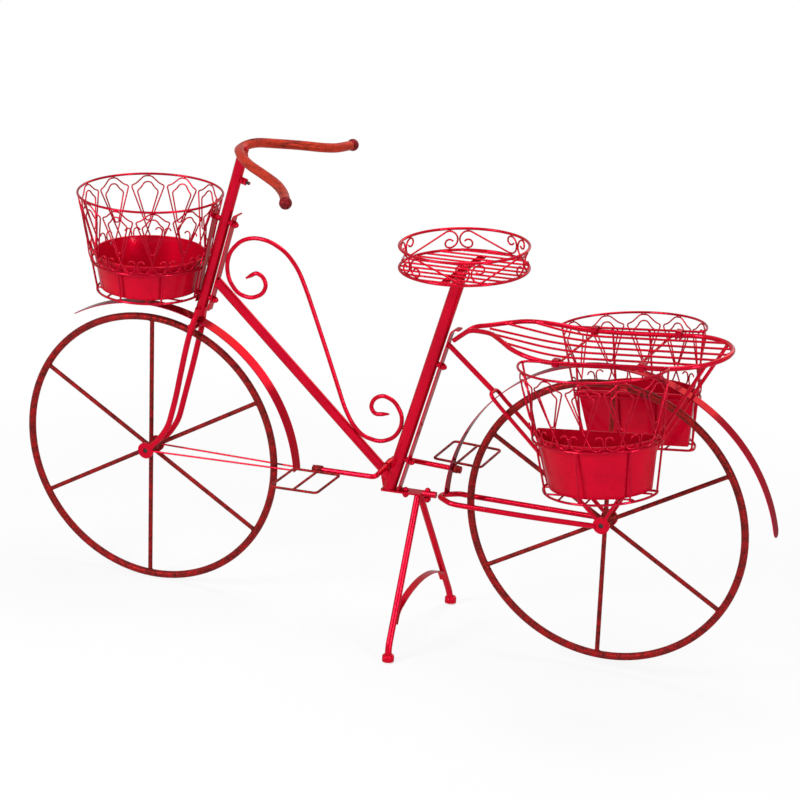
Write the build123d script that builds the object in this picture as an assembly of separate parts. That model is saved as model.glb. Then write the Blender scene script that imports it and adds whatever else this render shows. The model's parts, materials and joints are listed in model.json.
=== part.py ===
from build123d import *
import math
import os

# Red metal planter in the shape of an old bicycle. Lengths are millimetres.
# While it is built, the origin is the front hub, +X runs to the rear, +Z is up, y = 0 is the middle plane.
# At the end every piece is moved so that the origin lies on the floor under the middle of the whole object.

# overall layout
wheel_radius = 280.0
rim_radius = 7.4
chain_length = 453.5
rear_hub_rise = 25.0
half_width_at_hubs = 24.0

# clearances
weld_gap = 0.12
touch_gap = 0.3
running_clearance = 0.05
cut_overrun = 3.0

# wheels
spoke_count = 6
spoke_radius = 4.5
hub_radius = 10.5
hub_flange_radius = 14.0
hub_flange_thickness = 3.0
axle_radius = 5.0
axle_recess = 1.5
end_disc_radius = 17.0
end_disc_thickness = 4.5

# stem and fork
stem_radius = 11.0
stem_wall = 1.6
stem_bottom_x = 108.0
stem_bottom_z = 305.0
stem_top_x = 197.5
stem_top_z = 648.0
blade_radius = 6.0
blade_half_spread = 27.5
bridge_length = 16.0
bridge_thickness = 3.0
bridge_gap_to_fender = 12.0

# handlebar
bar_radius = 9.6
bar_wall = 1.5
bar_half_span = 234.5
bar_sweep = 166.0
bar_hump = 28.6
bar_turn_degrees = 8.4
bar_centre_x = 191.5
bar_centre_z = 659.5
ball_radius = 12.4
stub_radius = 9.2
stub_length = 90.0
bar_screw_radius = 2.6
bar_screw_head_radius = 4.6
bar_screw_head_height = 3.0
clamp_bolt_drop = 50.0
clamp_bolt_radius = 3.0
clamp_nut_thickness = 5.5
clamp_bolt_tail = 8.0

# flat strips and their bolts
strip_width = 20.0
strip_thickness = 3.0
strip_gap = 5.5
bolt_radius = 3.0
spacer_radius = 5.6
nut_across_flats = 13.0
nut_thickness = 5.5
nut_dome_radius = 5.6
bolt_head_radius = 6.0
bolt_head_height = 3.5
head_plate_top_z = 526.0
head_plate_bottom_z = 322.0
head_bolt_high_z = 508.0
head_bolt_low_z = 346.0

# tubes of the main triangle
down_tube_radius = 10.0
down_tube_wall = 1.5
down_tube_top_z = 384.0
seat_tube_radius = 13.0
seat_tube_wall = 1.6
seat_tube_bottom_x = 535.5
seat_tube_bottom_z = 11.0
seat_tube_top_x = 662.0
seat_tube_top_z = 456.0
seat_strip_top_z = 362.0
seat_strip_hook = 12.0
seat_bolt_high_z = 289.0
seat_bolt_low_z = 80.0
gusset_thickness = 5.0
gusset_hole_radius = 3.2

# frame scroll
scroll_radius = 4.3
scroll_tip_radius = 1.9
scroll_left_x = 166.0
scroll_width = 388.0
scroll_bottom_z = 102.5
scroll_height = 380.0

# base plate and stays
base_overhang = 15.5
base_length = 126.0
base_z = 7.0
base_rise = 6.5
base_width = 26.0
base_thickness = 4.0
base_bolt_front_gap = 50.0
base_bolt_rear_gap = 29.0
yoke_radius = 6.6
chain_stay_radius = 5.4
chain_stay_spread = 29.0
stay_radius = 5.2
lower_stay_radius = 4.0
stay_split_x = 743.0
stay_split_z = 252.0

# rear rack
rack_rail_radius = 4.6
rack_half_width = 110.0
rack_front_x = 660.0
rack_front_z = 341.0
rack_length = 551.0
rack_arch = 39.0
rack_slope_degrees = 6.3
rack_wire_radius = 2.3
rack_wire_count = 5
crossbar_radius = 2.6
crossbar_front_x = 908.0
crossbar_rear_x = 1060.0
rack_stay_radius = 3.6
rack_stay_inset = 25.0

# fenders
fender_thickness = 2.0
front_fender_width = 30.0
front_fender_radius = 334.0
front_fender_shift = 1.3
front_fender_drop = 22.8
front_fender_start_degrees = 5.6
front_fender_end_degrees = 121.7
rear_fender_width = 27.0
rear_fender_radius = 338.0
rear_fender_shift = 6.2
rear_fender_drop = 21.4
rear_fender_start_degrees = 9.3
rear_fender_end_degrees = 177.2
fender_stay_radius = 1.9

# stand
leg_radius = 6.8
leg_wall = 1.4
leg_top_setback = 78.0
leg_rake = 15.0
leg_foot_y = 162.0
foot_radius = 12.0
foot_height = 13.0
foot_round = 4.0
pad_radius = 11.3
pad_thickness = 3.0
brace_width = 14.0
brace_thickness = 3.0

# plant tray on the seat tube
tray_x = 673.0
tray_z = 489.5
tray_radius = 125.0
tray_height = 43.2
tray_tilt_degrees = 2.3
tray_ring_radius = 2.8
tray_scroll_radius = 1.8
tray_scroll_count = 6
tray_scroll_turn_degrees = -123.0
tray_wire_radius = 2.0
tray_wire_count = 10
tray_strap_width = 16.0
tray_strap_thickness = 2.5
tray_bolt_head_radius = 9.6
tray_bolt_head_height = 7.0
tray_post_radius = 10.2
tray_post_groove = 1.6
tray_post_bands = 4

# baskets, common
ring_radius = 2.4
motif_radius = 1.5
rib_radius = 2.1
floor_wire_radius = 1.9

# front basket
front_basket_x = -6.0
front_basket_top_z = 541.0
front_basket_mid_z = 403.0
front_basket_bottom_z = 341.0
front_basket_top_radius = 145.0
front_basket_mid_radius = 117.5
front_basket_bottom_radius = 105.5
front_motif_count = 12
front_rib_count = 8
front_rib_turn_degrees = -4.8
bracket_width = 16.0
bracket_thickness = 2.5

# side baskets, as half ellipses with a flat back beside the rack
side_basket_x = 988.0
right_basket_ahead = 10.0
side_basket_height_to_mid = 140.0
side_basket_height_to_bottom = 241.0
side_basket_tilt_degrees = 6.9
clip_length = 12.0
clip_wall = 2.2
clip_front_x = 908.0
clip_rear_x = 1077.0
side_basket_top_half_length = 148.0
side_basket_mid_half_length = 128.8
side_basket_bottom_half_length = 112.5
side_basket_top_depth = 119.0
side_basket_mid_depth = 103.0
side_basket_bottom_depth = 103.0
side_motif_count = 5
side_basket_top_z = 381.0

# pots
pot_wall = 1.2
pot_bead_radius = 2.0
front_pot_top_radius = 112.0
front_pot_bottom_radius = 99.0
front_pot_height = 71.0
side_pot_height = 106.0
side_pot_back_gap = 5.0
side_pot_top_half_length = 119.0
side_pot_bottom_half_length = 101.0
side_pot_top_depth = 94.0
side_pot_bottom_depth = 84.0
pot_hole_radius = 2.2
front_pot_hole_degrees = 164.0

# crank rod and pedals
crank_ahead = 18.7
crank_z = 61.0
crank_radius = 5.2
crank_tilt_degrees = 5.5
crank_left_reach = 67.0
crank_right_reach = 32.0
crank_left_arm = 135.0
crank_right_arm = 143.0
crank_left_drop = 6.6
crank_right_drop = 1.8
crank_bend_radius = 9.0
bush_radius = 7.2
bush_length = 22.0
pedal_length = 101.0
pedal_width = 110.0
pedal_wire_radius = 2.6
pedal_corner_radius = 8.0
pedal_sleeve_length = 13.0
pedal_sleeve_radius = 8.0
pedal_end_gap = 0.3
pedal_left_rise = -2.0
pedal_right_rise = 9.0
crank_nut_across_flats = 14.0
crank_nut_thickness = 6.0
crank_end_length = 1.0

# values worked out from the sizes above
rim_outer = wheel_radius + rim_radius
floor_z = -rim_outer
wheelbase = seat_tube_bottom_x + chain_length
rear_hub = (wheelbase, 0, rear_hub_rise)
stem_slope = (stem_top_x - stem_bottom_x) / (stem_top_z - stem_bottom_z)
stem_tilt = math.atan(stem_slope)
seat_slope = (seat_tube_top_x - seat_tube_bottom_x) / (seat_tube_top_z - seat_tube_bottom_z)
seat_tilt = math.atan(seat_slope)
rack_slope = math.radians(rack_slope_degrees)
rack_stay_top_x = rack_front_x + rack_length - rack_stay_inset
base_front_x = seat_tube_bottom_x - base_overhang
base_bolt_front_x = base_front_x + base_bolt_front_gap
base_bolt_rear_x = base_front_x + base_length - base_bolt_rear_gap
leg_top_x = base_front_x + leg_top_setback
leg_foot_x = leg_top_x + leg_rake
crank_x = seat_tube_bottom_x + seat_slope * (crank_z - seat_tube_bottom_z) - crank_ahead
crank_tilt = math.radians(crank_tilt_degrees)
bend_share = 0.45


def corner_radius(before, corner, after):
    """Radius that rounds a corner over its share of the shorter run."""
    run_in = Vector(*corner) - Vector(*before)
    run_out = Vector(*after) - Vector(*corner)
    half_turn = math.radians(run_in.get_angle(run_out)) / 2
    return bend_share * min(run_in.length, run_out.length) / math.tan(half_turn)


def wire_path(points, closed=False, limit=math.inf):
    """Straight runs joined by tangent arcs through a list of points."""
    count = len(points)
    if count == 2:
        return Line(*points)
    corners = range(count) if closed else range(1, count - 1)
    radii = [corner_radius(points[i - 1], points[i], points[(i + 1) % count]) for i in corners]
    return FilletPolyline(*points, radius=[min(radius, limit) for radius in radii], close=closed)


def swept(path, section, width_direction=None):
    """Section carried along a path that starts square to it."""
    if width_direction is None:
        start = Plane(origin=path @ 0, z_dir=path % 0)
    else:
        start = Plane(origin=path @ 0, x_dir=width_direction, z_dir=path % 0)
    return sweep(start * section, path=path)


def bent_wire(points, radius, closed=False, limit=math.inf):
    """Round bar bent through the points."""
    return swept(wire_path(points, closed, limit), Circle(radius))


def bent_tube(points, radius, wall):
    """Round tube bent through the points."""
    return swept(wire_path(points), Circle(radius) - Circle(radius - wall))


def bent_strip(points, width, thickness, width_direction=(0, 1, 0)):
    """Flat bar bent through the points, its width square to the bends."""
    return swept(wire_path(points), Rectangle(width, thickness), width_direction)


def rod(start, end, radius):
    """Straight round bar between two points."""
    axis = Vector(*end) - Vector(*start)
    place = Plane(origin=start, z_dir=axis)
    return place * Cylinder(radius, axis.length, align=(Align.CENTER, Align.CENTER, Align.MIN))


def tube(start, end, radius, wall):
    """Straight round tube between two points."""
    return rod(start, end, radius) - rod(start, end, radius - wall)


def ring(centre, ring_size, radius):
    """Closed wire ring lying flat."""
    return Pos(*centre) * Torus(ring_size, radius)


def across_drum(centre, radius, half_length):
    """Drum with its axis across the bike."""
    low = (centre[0], centre[1] - half_length, centre[2])
    high = (centre[0], centre[1] + half_length, centre[2])
    return rod(low, high, radius)


def mirrored(part):
    """The same piece on the other side of the middle plane."""
    return mirror(part, about=Plane.XZ)


def both_sides(part):
    """A piece and its mirror image."""
    return [part, mirrored(part)]


def half_ball(radius):
    """Ball cut flat through its middle, flat side down."""
    return Sphere(radius, arc_size1=0, align=(Align.CENTER, Align.CENTER, Align.MIN))


def polar(centre, radius, degrees):
    """Point on a circle in a flat layout."""
    angle = math.radians(degrees)
    return (centre[0] + radius * math.cos(angle), centre[1] + radius * math.sin(angle))


def stem_point(height, offset=0.0, side=0.0):
    """Point beside the stem axis, crossed at the given height; offset runs square to it, rearwards."""
    x = stem_bottom_x + stem_slope * (height - stem_bottom_z)
    return (x + offset * math.cos(stem_tilt), side, height - offset * math.sin(stem_tilt))


def seat_point(height, offset=0.0, side=0.0):
    """Point beside the seat tube axis in the same manner."""
    x = seat_tube_bottom_x + seat_slope * (height - seat_tube_bottom_z)
    return (x + offset * math.cos(seat_tilt), side, height - offset * math.sin(seat_tilt))


def base_level(x):
    """Height of the middle of the sloping base plate."""
    return base_z + base_rise * (x - base_front_x) / base_length


# wheels

def wheel_rim(hub):
    return Pos(*hub) * Rot(X=90) * Torus(wheel_radius, rim_radius)


def wheel_hub(hub):
    half_length = half_width_at_hubs - end_disc_thickness / 2 - touch_gap
    flange_middle = half_length - hub_flange_thickness / 2
    barrel = across_drum(hub, hub_radius, half_length)
    for side in (-1, 1):
        place = (hub[0], hub[1] + side * flange_middle, hub[2])
        barrel += across_drum(place, hub_flange_radius, hub_flange_thickness / 2)
    return barrel - across_drum(hub, axle_radius + running_clearance, half_length + cut_overrun)


def wheel_spokes(hub):
    inner = hub_radius - cut_overrun
    outer = wheel_radius
    rim_cut = Pos(*hub) * Rot(X=90) * Torus(wheel_radius, rim_radius + weld_gap)
    hub_cut = across_drum(hub, hub_radius + weld_gap, half_width_at_hubs)
    spokes = []
    for i in range(spoke_count):
        angle = math.radians(90 + i * 360 / spoke_count)
        aim = (math.cos(angle), math.sin(angle))
        start = (hub[0] + inner * aim[0], hub[1], hub[2] + inner * aim[1])
        end = (hub[0] + outer * aim[0], hub[1], hub[2] + outer * aim[1])
        spokes.append(rod(start, end, spoke_radius) - rim_cut - hub_cut)
    return spokes


def wheel_axle(hub):
    half_length = half_width_at_hubs + end_disc_thickness / 2 - axle_recess
    return across_drum(hub, axle_radius, half_length)


def hub_disc(hub, side):
    centre = (hub[0], hub[1] + side * half_width_at_hubs, hub[2])
    return across_drum(centre, end_disc_radius, end_disc_thickness / 2)


def disc_cut(hub, side):
    """Slightly larger disc, cut from the stays that end on it."""
    centre = (hub[0], hub[1] + side * half_width_at_hubs, hub[2])
    return across_drum(centre, end_disc_radius + weld_gap, end_disc_radius)


def axle_hole(hub):
    return across_drum(hub, axle_radius + weld_gap, half_width_at_hubs + cut_overrun * 2)


# fenders

front_fender_centre = (-front_fender_shift, 0, -front_fender_drop)
rear_fender_centre = (wheelbase + rear_fender_shift, 0, rear_hub_rise - rear_fender_drop)


def fender(centre, radius, width, start_degrees, end_degrees):
    """Flat strip rolled to an arc over the wheel."""
    span = end_degrees - start_degrees
    path = CenterArc((0, 0), radius, start_degrees, span)
    place = Plane(origin=centre, x_dir=(1, 0, 0), z_dir=(0, -1, 0))
    return swept(place * path, Rectangle(width, fender_thickness), (0, 1, 0))


def rounded_end(strip, centre, radius, width, end_degrees, turn):
    """The strip with one end cut to a half circle; turn is 1 where angles rise to that end, or else -1."""
    angle = math.radians(end_degrees) - turn * width / 2 / radius
    out = Vector(math.cos(angle), 0, math.sin(angle))
    along = Vector(-math.sin(angle), 0, math.cos(angle)) * turn
    place = Plane(origin=Vector(*centre) + out * radius, x_dir=along, z_dir=out)
    height = fender_thickness + cut_overrun * 2
    block = Box(width, width + cut_overrun * 2, height, align=(Align.MIN, Align.CENTER, Align.CENTER))
    return strip - place * (block - Cylinder(width / 2, height))


def front_fender():
    strip = fender(front_fender_centre, front_fender_radius, front_fender_width,
                   front_fender_start_degrees, front_fender_end_degrees)
    return rounded_end(strip, front_fender_centre, front_fender_radius, front_fender_width,
                       front_fender_end_degrees, 1)


def rear_fender():
    strip = fender(rear_fender_centre, rear_fender_radius, rear_fender_width,
                   rear_fender_start_degrees, rear_fender_end_degrees)
    return rounded_end(strip, rear_fender_centre, rear_fender_radius, rear_fender_width,
                       rear_fender_start_degrees, -1)


def front_fender_stays():
    """Two thin rods from the fork discs to the rear end of the front fender."""
    angle = math.radians(front_fender_start_degrees + 0.4)
    reach = front_fender_radius * math.cos(angle) + front_fender_centre[0]
    rise = front_fender_radius * math.sin(angle) + front_fender_centre[2]
    edge = front_fender_width / 2 - fender_stay_radius * 2.5
    limit = front_fender_radius - fender_thickness / 2 - weld_gap
    keep = across_drum(front_fender_centre, limit, half_width_at_hubs * 2)
    stay = rod((0, half_width_at_hubs, 0), (reach, edge, rise), fender_stay_radius)
    return both_sides((stay & keep) - disc_cut((0, 0, 0), 1))


# fork, stem and handlebar

fork_crown_spread = front_fender_width / 2 + blade_radius * 1.04 + weld_gap * 2
fork_top_spread = stem_radius + blade_radius + weld_gap
# shares of the stem's foot, sideways shares of the blade spread and heights as shares of the same foot
blade_shares = [(0.10, 0.87, 0.03), (0.27, 0.86, 0.09), (0.47, 0.83, 0.20), (0.62, 0.80, 0.41),
                (0.74, 0.96, 0.60), (0.85, 1.00, 0.78), (0.93, 0.97, 0.90)]


def blade_points():
    points = [(sx * stem_bottom_x, sy * blade_half_spread, sz * stem_bottom_z)
              for sx, sy, sz in blade_shares]
    crown = (stem_bottom_x * 0.97, fork_crown_spread, stem_bottom_z * 0.963)
    return points + [crown, stem_point(stem_bottom_z * 1.01, 0, fork_top_spread),
                     stem_point(stem_bottom_z * 1.055, 0, fork_top_spread)]


def fork_blades():
    blade = bent_wire(blade_points(), blade_radius) + hub_disc((0, 0, 0), 1)
    hub_room = across_drum((0, 0, 0), end_disc_radius, half_width_at_hubs - end_disc_thickness / 2)
    return both_sides(blade - hub_room - axle_hole((0, 0, 0)))


def fork_bridge():
    """Small flat plate between the blades, under the front fender."""
    level = front_fender_radius - bridge_gap_to_fender
    turn = math.acos((stem_bottom_x * 0.94 - front_fender_centre[0]) / level)
    x = front_fender_centre[0] + level * math.cos(turn)
    z = front_fender_centre[2] + level * math.sin(turn)
    plate = Box(bridge_length, blade_half_spread * 2, bridge_thickness)
    plate = Pos(x, 0, z) * Rot(Y=90 - math.degrees(turn)) * plate
    fat_blade = bent_wire(blade_points(), blade_radius + weld_gap)
    return plate - fat_blade - mirrored(fat_blade)


def bar_point(sideways, back, up):
    """Point on the handlebar, which is turned a little about the stem's top."""
    turn = math.radians(bar_turn_degrees)
    x = bar_centre_x + back * math.cos(turn) - sideways * math.sin(turn)
    y = sideways * math.cos(turn) + back * math.sin(turn)
    return (x, y, bar_centre_z + up)


# sideways, backward and downward shares of one half of the handlebar
bar_shares = [(0.06, 0.01, 0.0), (0.15, 0.06, -0.06), (0.25, 0.13, 0.02), (0.37, 0.27, 0.25),
              (0.52, 0.53, 0.52), (0.64, 0.74, 0.80), (0.77, 0.87, 1.02), (0.91, 0.95, 1.10),
              (0.955, 0.972, 1.13)]


def bar_points():
    half = [(sx * bar_half_span, sy * bar_sweep, -sz * bar_hump) for sx, sy, sz in bar_shares]
    left = [bar_point(-sideways, back, up) for sideways, back, up in reversed(half)]
    return left + [bar_point(*point) for point in half]


def ball_centre(side):
    tip = Vector(*bar_points()[-1 if side > 0 else 0])
    before = Vector(*bar_points()[-2 if side > 0 else 1])
    return tip + (tip - before).normalized() * ball_radius * 0.75


def fat_bar():
    return bent_wire(bar_points(), bar_radius + weld_gap)


def handlebar():
    """Swept bar with the stub that the stem clamps."""
    bar = bent_tube(bar_points(), bar_radius, bar_wall)
    core = bent_wire(bar_points(), bar_radius - bar_wall / 2)
    stub = rod(stem_point(stem_top_z - stub_length), stem_point(bar_centre_z), stub_radius) - core
    whole = bar + stub
    for side in (-1, 1):
        centre = ball_centre(side)
        whole -= Pos(centre.X, centre.Y, centre.Z) * Sphere(ball_radius + weld_gap)
    start, end, surface = bar_screw_line()
    whole -= rod(start, end, bar_screw_radius + weld_gap)
    seat_end = (surface + bar_screw_head_height * 3, 0, bar_centre_z)
    return whole - rod((surface, 0, bar_centre_z), seat_end, bar_screw_head_radius + weld_gap)


def handlebar_balls():
    centres = [ball_centre(side) for side in (-1, 1)]
    return [Pos(centre.X, centre.Y, centre.Z) * Sphere(ball_radius) for centre in centres]


def bar_screw_line():
    """Axis of the screw behind the bar: from inside the wall, past the wall, and out along the head."""
    back = (bar_centre_x, 0, bar_centre_z)
    surface = back[0] + bar_radius + weld_gap
    return ((surface - bar_wall * 2, 0, back[2]), (surface + cut_overrun, 0, back[2]), surface)


def handlebar_screws():
    """Screw through the bar's back and the clamp screw with its two nuts behind the stem."""
    start, _, surface = bar_screw_line()
    head_start = (surface + weld_gap, 0, bar_centre_z)
    head_end = (head_start[0] + bar_screw_head_height * 2, 0, bar_centre_z)
    bar_screw = rod(start, head_start, bar_screw_radius) + rod(head_start, head_end, bar_screw_head_radius)
    height = stem_top_z - clamp_bolt_drop
    nut_start = stem_radius + weld_gap
    screw = rod(stem_point(height, stub_radius + weld_gap),
                stem_point(height, nut_start + clamp_nut_thickness * 2 + clamp_bolt_tail), clamp_bolt_radius)
    inner_thickness = clamp_nut_thickness * 0.8
    inner_nut = hex_nut(stem_point(height, nut_start), stem_tilt, inner_thickness, clamp_bolt_radius)
    outer_start = nut_start + clamp_nut_thickness * 1.1
    outer_nut = hex_nut(stem_point(height, outer_start), stem_tilt, clamp_nut_thickness, clamp_bolt_radius)
    inner_nut -= rod(stem_point(stem_bottom_z), stem_point(stem_top_z), stem_radius + weld_gap)
    return [bar_screw, screw, inner_nut, outer_nut]


def hex_nut(place, tilt, thickness, bore):
    """Six-sided nut whose axis runs square to a tilted tube, rearwards."""
    aim = (math.cos(tilt), 0, -math.sin(tilt))
    nut = extrude(RegularPolygon(nut_across_flats / 2, 6, major_radius=False), thickness)
    nut -= Cylinder(bore + running_clearance, thickness * 3)
    return Plane(origin=place, z_dir=aim) * nut


def domed_nut(place, aim):
    """Six-sided nut with a closed dome."""
    nut = extrude(RegularPolygon(nut_across_flats / 2, 6, major_radius=False), nut_thickness)
    dome = Pos(0, 0, nut_thickness) * half_ball(nut_dome_radius)
    room = Cylinder(bolt_radius + weld_gap, nut_thickness * 2)
    return Plane(origin=place, z_dir=aim) * (nut + dome - room)


def stem_tube():
    """Head tube, notched under the handlebar and drilled for its bolts."""
    whole = tube(stem_point(stem_bottom_z), stem_point(stem_top_z), stem_radius, stem_wall) - fat_bar()
    for height in (head_bolt_high_z, head_bolt_low_z):
        reach = stem_radius * 2
        whole -= rod(stem_point(height, -reach), stem_point(height, reach), bolt_radius + weld_gap)
    clamp = stem_top_z - clamp_bolt_drop
    return whole - rod(stem_point(clamp), stem_point(clamp, stem_radius * 2), clamp_bolt_radius + weld_gap)


plate_offset = stem_radius + strip_gap + strip_thickness / 2
seat_strip_offset = seat_tube_radius + strip_gap + strip_thickness / 2


def head_plate():
    """Flat strip held off the back of the stem, its top end bent rearwards."""
    points = [stem_point(head_plate_bottom_z, plate_offset), stem_point(head_plate_top_z, plate_offset)]
    bend = stem_point(head_plate_top_z + strip_width * 0.3, plate_offset + strip_width * 0.45)
    strip = bent_strip(points + [bend], strip_width, strip_thickness)
    for height in (head_bolt_high_z, head_bolt_low_z):
        strip -= rod(stem_point(height), stem_point(height, plate_offset * 2), bolt_radius + weld_gap)
    return strip


# upward and backward shares of the strip's hook
seat_hook_shares = [(0.0, 0.0), (0.7, 0.4), (0.9, 1.2)]


def seat_strip():
    """Flat strip held off the back of the seat tube, its top end curled rearwards."""
    low = base_level(seat_point(base_z, seat_strip_offset)[0]) + base_thickness
    points = [seat_point(low, seat_strip_offset)]
    for rise_share, back_share in seat_hook_shares:
        points.append(seat_point(seat_strip_top_z + seat_strip_hook * rise_share,
                                 seat_strip_offset + seat_strip_hook * back_share))
    strip = bent_strip(points, strip_width, strip_thickness)
    for height in (seat_bolt_high_z, seat_bolt_low_z):
        strip -= rod(seat_point(height), seat_point(height, seat_strip_offset * 2), bolt_radius + weld_gap)
    return strip - base_room()


def bracket_face(height):
    """Distance from the stem's middle to the front of the basket's strip, at a bolt."""
    x, _, z = stem_point(height)
    slope = bracket_slope()
    level = front_basket_x + front_basket_bottom_radius + ring_radius + weld_gap
    face = level + slope * (z - front_basket_bottom_z)
    return (x - face) / (math.cos(stem_tilt) + slope * math.sin(stem_tilt))


def bracket_slope():
    rise = front_basket_top_z - front_basket_bottom_z
    return (front_basket_top_radius - front_basket_bottom_radius) / rise


def strip_bolts():
    """Two long bolts through basket strip, stem and head plate, and two studs in the seat tube."""
    bolts = []
    far = plate_offset + strip_thickness / 2 + nut_thickness
    for height in (head_bolt_high_z, head_bolt_low_z):
        front = -bracket_face(height) - weld_gap
        bolt = rod(stem_point(height, front), stem_point(height, far), bolt_radius)
        bolts.append(bolt + rod(stem_point(height, front - bolt_head_height), stem_point(height, front),
                                bolt_head_radius))
    for height in (seat_bolt_high_z, seat_bolt_low_z):
        inside = seat_tube_radius - seat_tube_wall - cut_overrun
        far_seat = seat_strip_offset + strip_thickness / 2 + nut_thickness
        bolts.append(rod(seat_point(height, inside), seat_point(height, far_seat), bolt_radius))
    return bolts


def strip_spacers():
    """Short sleeves between the tubes and their strips."""
    stem_cut = rod(stem_point(stem_bottom_z), stem_point(stem_top_z), stem_radius + weld_gap)
    seat_cut = rod(seat_point(seat_tube_bottom_z), seat_point(seat_tube_top_z), seat_tube_radius + weld_gap)
    spacers = []
    for height in (head_bolt_high_z, head_bolt_low_z):
        end = plate_offset - strip_thickness / 2 - weld_gap
        sleeve = tube(stem_point(height, stem_radius / 2), stem_point(height, end), spacer_radius,
                      spacer_radius - bolt_radius - weld_gap)
        spacers.append(sleeve - stem_cut)
        front = -bracket_face(height) + bracket_thickness + weld_gap * 3
        front_sleeve = tube(stem_point(height, front), stem_point(height, -stem_radius / 2), spacer_radius,
                            spacer_radius - bolt_radius - weld_gap)
        spacers.append(front_sleeve - stem_cut - bracket_room())
    for height in (seat_bolt_high_z, seat_bolt_low_z):
        end = seat_strip_offset - strip_thickness / 2 - weld_gap
        sleeve = tube(seat_point(height, seat_tube_radius / 2), seat_point(height, end), spacer_radius,
                      spacer_radius - bolt_radius - weld_gap)
        spacers.append(sleeve - seat_cut)
    return spacers


def strip_nuts():
    """Domed nuts behind the strips."""
    nuts = []
    for height in (head_bolt_high_z, head_bolt_low_z):
        place = stem_point(height, plate_offset + strip_thickness / 2 + weld_gap)
        nuts.append(domed_nut(place, (math.cos(stem_tilt), 0, -math.sin(stem_tilt))))
    for height in (seat_bolt_high_z, seat_bolt_low_z):
        place = seat_point(height, seat_strip_offset + strip_thickness / 2 + weld_gap)
        nuts.append(domed_nut(place, (math.cos(seat_tilt), 0, -math.sin(seat_tilt))))
    return nuts


# frame

def down_tube_line():
    """Start behind the head plate and end inside the seat tube."""
    start = stem_point(down_tube_top_z, plate_offset)
    end_height = seat_tube_bottom_z + seat_tube_radius * 1.38
    return start, seat_point(end_height)


def head_plate_room():
    low = stem_point(head_plate_bottom_z - strip_width, plate_offset)
    high = stem_point(head_plate_top_z, plate_offset)
    return bent_strip([low, high], strip_width * 2, strip_thickness + weld_gap * 2)


def down_tube():
    start, end = down_tube_line()
    behind = rod(stem_point(head_plate_bottom_z - strip_width), stem_point(head_plate_top_z),
                 plate_offset + strip_thickness / 2)
    seat_cut = rod(seat_point(0), seat_point(seat_tube_top_z), seat_tube_radius + weld_gap)
    whole = tube(start, end, down_tube_radius, down_tube_wall) - head_plate_room() - seat_cut - behind
    return whole - bush_room()


def base_room():
    """Space of the base plate and all below it, cut from what stands on it."""
    length = base_length * 2
    middle = base_front_x + base_length / 2
    level = base_level(middle) + base_thickness / 2 + weld_gap - length / 2
    angle = math.degrees(math.atan(base_rise / base_length))
    return Pos(middle, 0, level) * Rot(Y=-angle) * Box(length, length, length)


def crank_point(along, sideways, up):
    """Point in the crank's own directions: along the bike, along its tilted axle, and square to both."""
    y = sideways * math.cos(crank_tilt) - up * math.sin(crank_tilt)
    z = sideways * math.sin(crank_tilt) + up * math.cos(crank_tilt)
    return (crank_x + along, y, crank_z + z)


def bush_room():
    return rod(crank_point(0, -bush_length, 0), crank_point(0, bush_length, 0), bush_radius + weld_gap)


def crank_bush():
    half = bush_length / 2
    wall = bush_radius - crank_radius - running_clearance
    return tube(crank_point(0, -half, 0), crank_point(0, half, 0), bush_radius, wall)


def seat_tube():
    """Tube under the tray, cut off on the base plate and drilled for the strip's studs."""
    low = seat_point(base_z - seat_tube_radius)
    whole = tube(low, seat_point(seat_tube_top_z), seat_tube_radius, seat_tube_wall)
    whole = whole - base_room() - bush_room()
    for height in (seat_bolt_high_z, seat_bolt_low_z):
        whole -= rod(seat_point(height), seat_point(height, seat_strip_offset), bolt_radius + weld_gap)
    return whole


def gusset():
    """Plate that fills the corner between down tube, seat tube and base plate."""
    tail = down_tube_line()[1]
    front = base_front_x + cut_overrun
    low = base_z - base_thickness
    outline = [(front, low), (tail[0], low), (tail[0], tail[2]),
               (front - down_tube_radius, tail[2] + down_tube_radius * 2)]
    plate = Plane.XZ * extrude(make_face(Polyline(*outline, close=True)), gusset_thickness / 2, both=True)
    start, end = down_tube_line()
    hole = across_drum((front + down_tube_radius, 0, seat_tube_bottom_z + down_tube_radius * 1.1),
                       gusset_hole_radius, gusset_thickness * 2)
    seat_cut = rod(seat_point(0), seat_point(seat_tube_top_z), seat_tube_radius + weld_gap)
    return plate - rod(start, end, down_tube_radius + weld_gap) - seat_cut - base_room() - hole


# scroll outline as shares of its width and height, from the small upper end to the small lower end
scroll_shares = [(0.141, 0.792), (0.169, 0.811), (0.208, 0.795), (0.228, 0.750), (0.207, 0.700),
                 (0.145, 0.666), (0.067, 0.679), (0.014, 0.745), (0.0, 0.825), (0.017, 0.901),
                 (0.078, 0.972), (0.155, 1.0), (0.243, 0.993), (0.337, 0.946), (0.407, 0.862),
                 (0.462, 0.740), (0.579, 0.439), (0.684, 0.157), (0.731, 0.072), (0.792, 0.016),
                 (0.890, 0.0), (0.966, 0.038), (1.004, 0.105), (1.005, 0.171), (0.962, 0.240),
                 (0.894, 0.262), (0.844, 0.231), (0.830, 0.182), (0.855, 0.149), (0.898, 0.157)]


def frame_scroll():
    """Long S-shaped bar whose two curled ends run out to points."""
    points = [(scroll_left_x + sx * scroll_width, 0, scroll_bottom_z + sz * scroll_height)
              for sx, sz in scroll_shares]
    path = wire_path(points)
    bar = swept(path, Circle(scroll_radius))
    length = scroll_radius * 3.2
    for end, sign in ((0, -1), (1, 1)):
        aim = (path % end) * sign
        tip = Cone(scroll_radius, scroll_tip_radius, length, align=(Align.CENTER, Align.CENTER, Align.MIN))
        bar += Plane(origin=path @ end, z_dir=aim) * tip
    return bar


base_plate_end = base_front_x + base_length * 0.70
stay_bar_end = base_front_x + base_length - chain_stay_radius * 2


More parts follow.
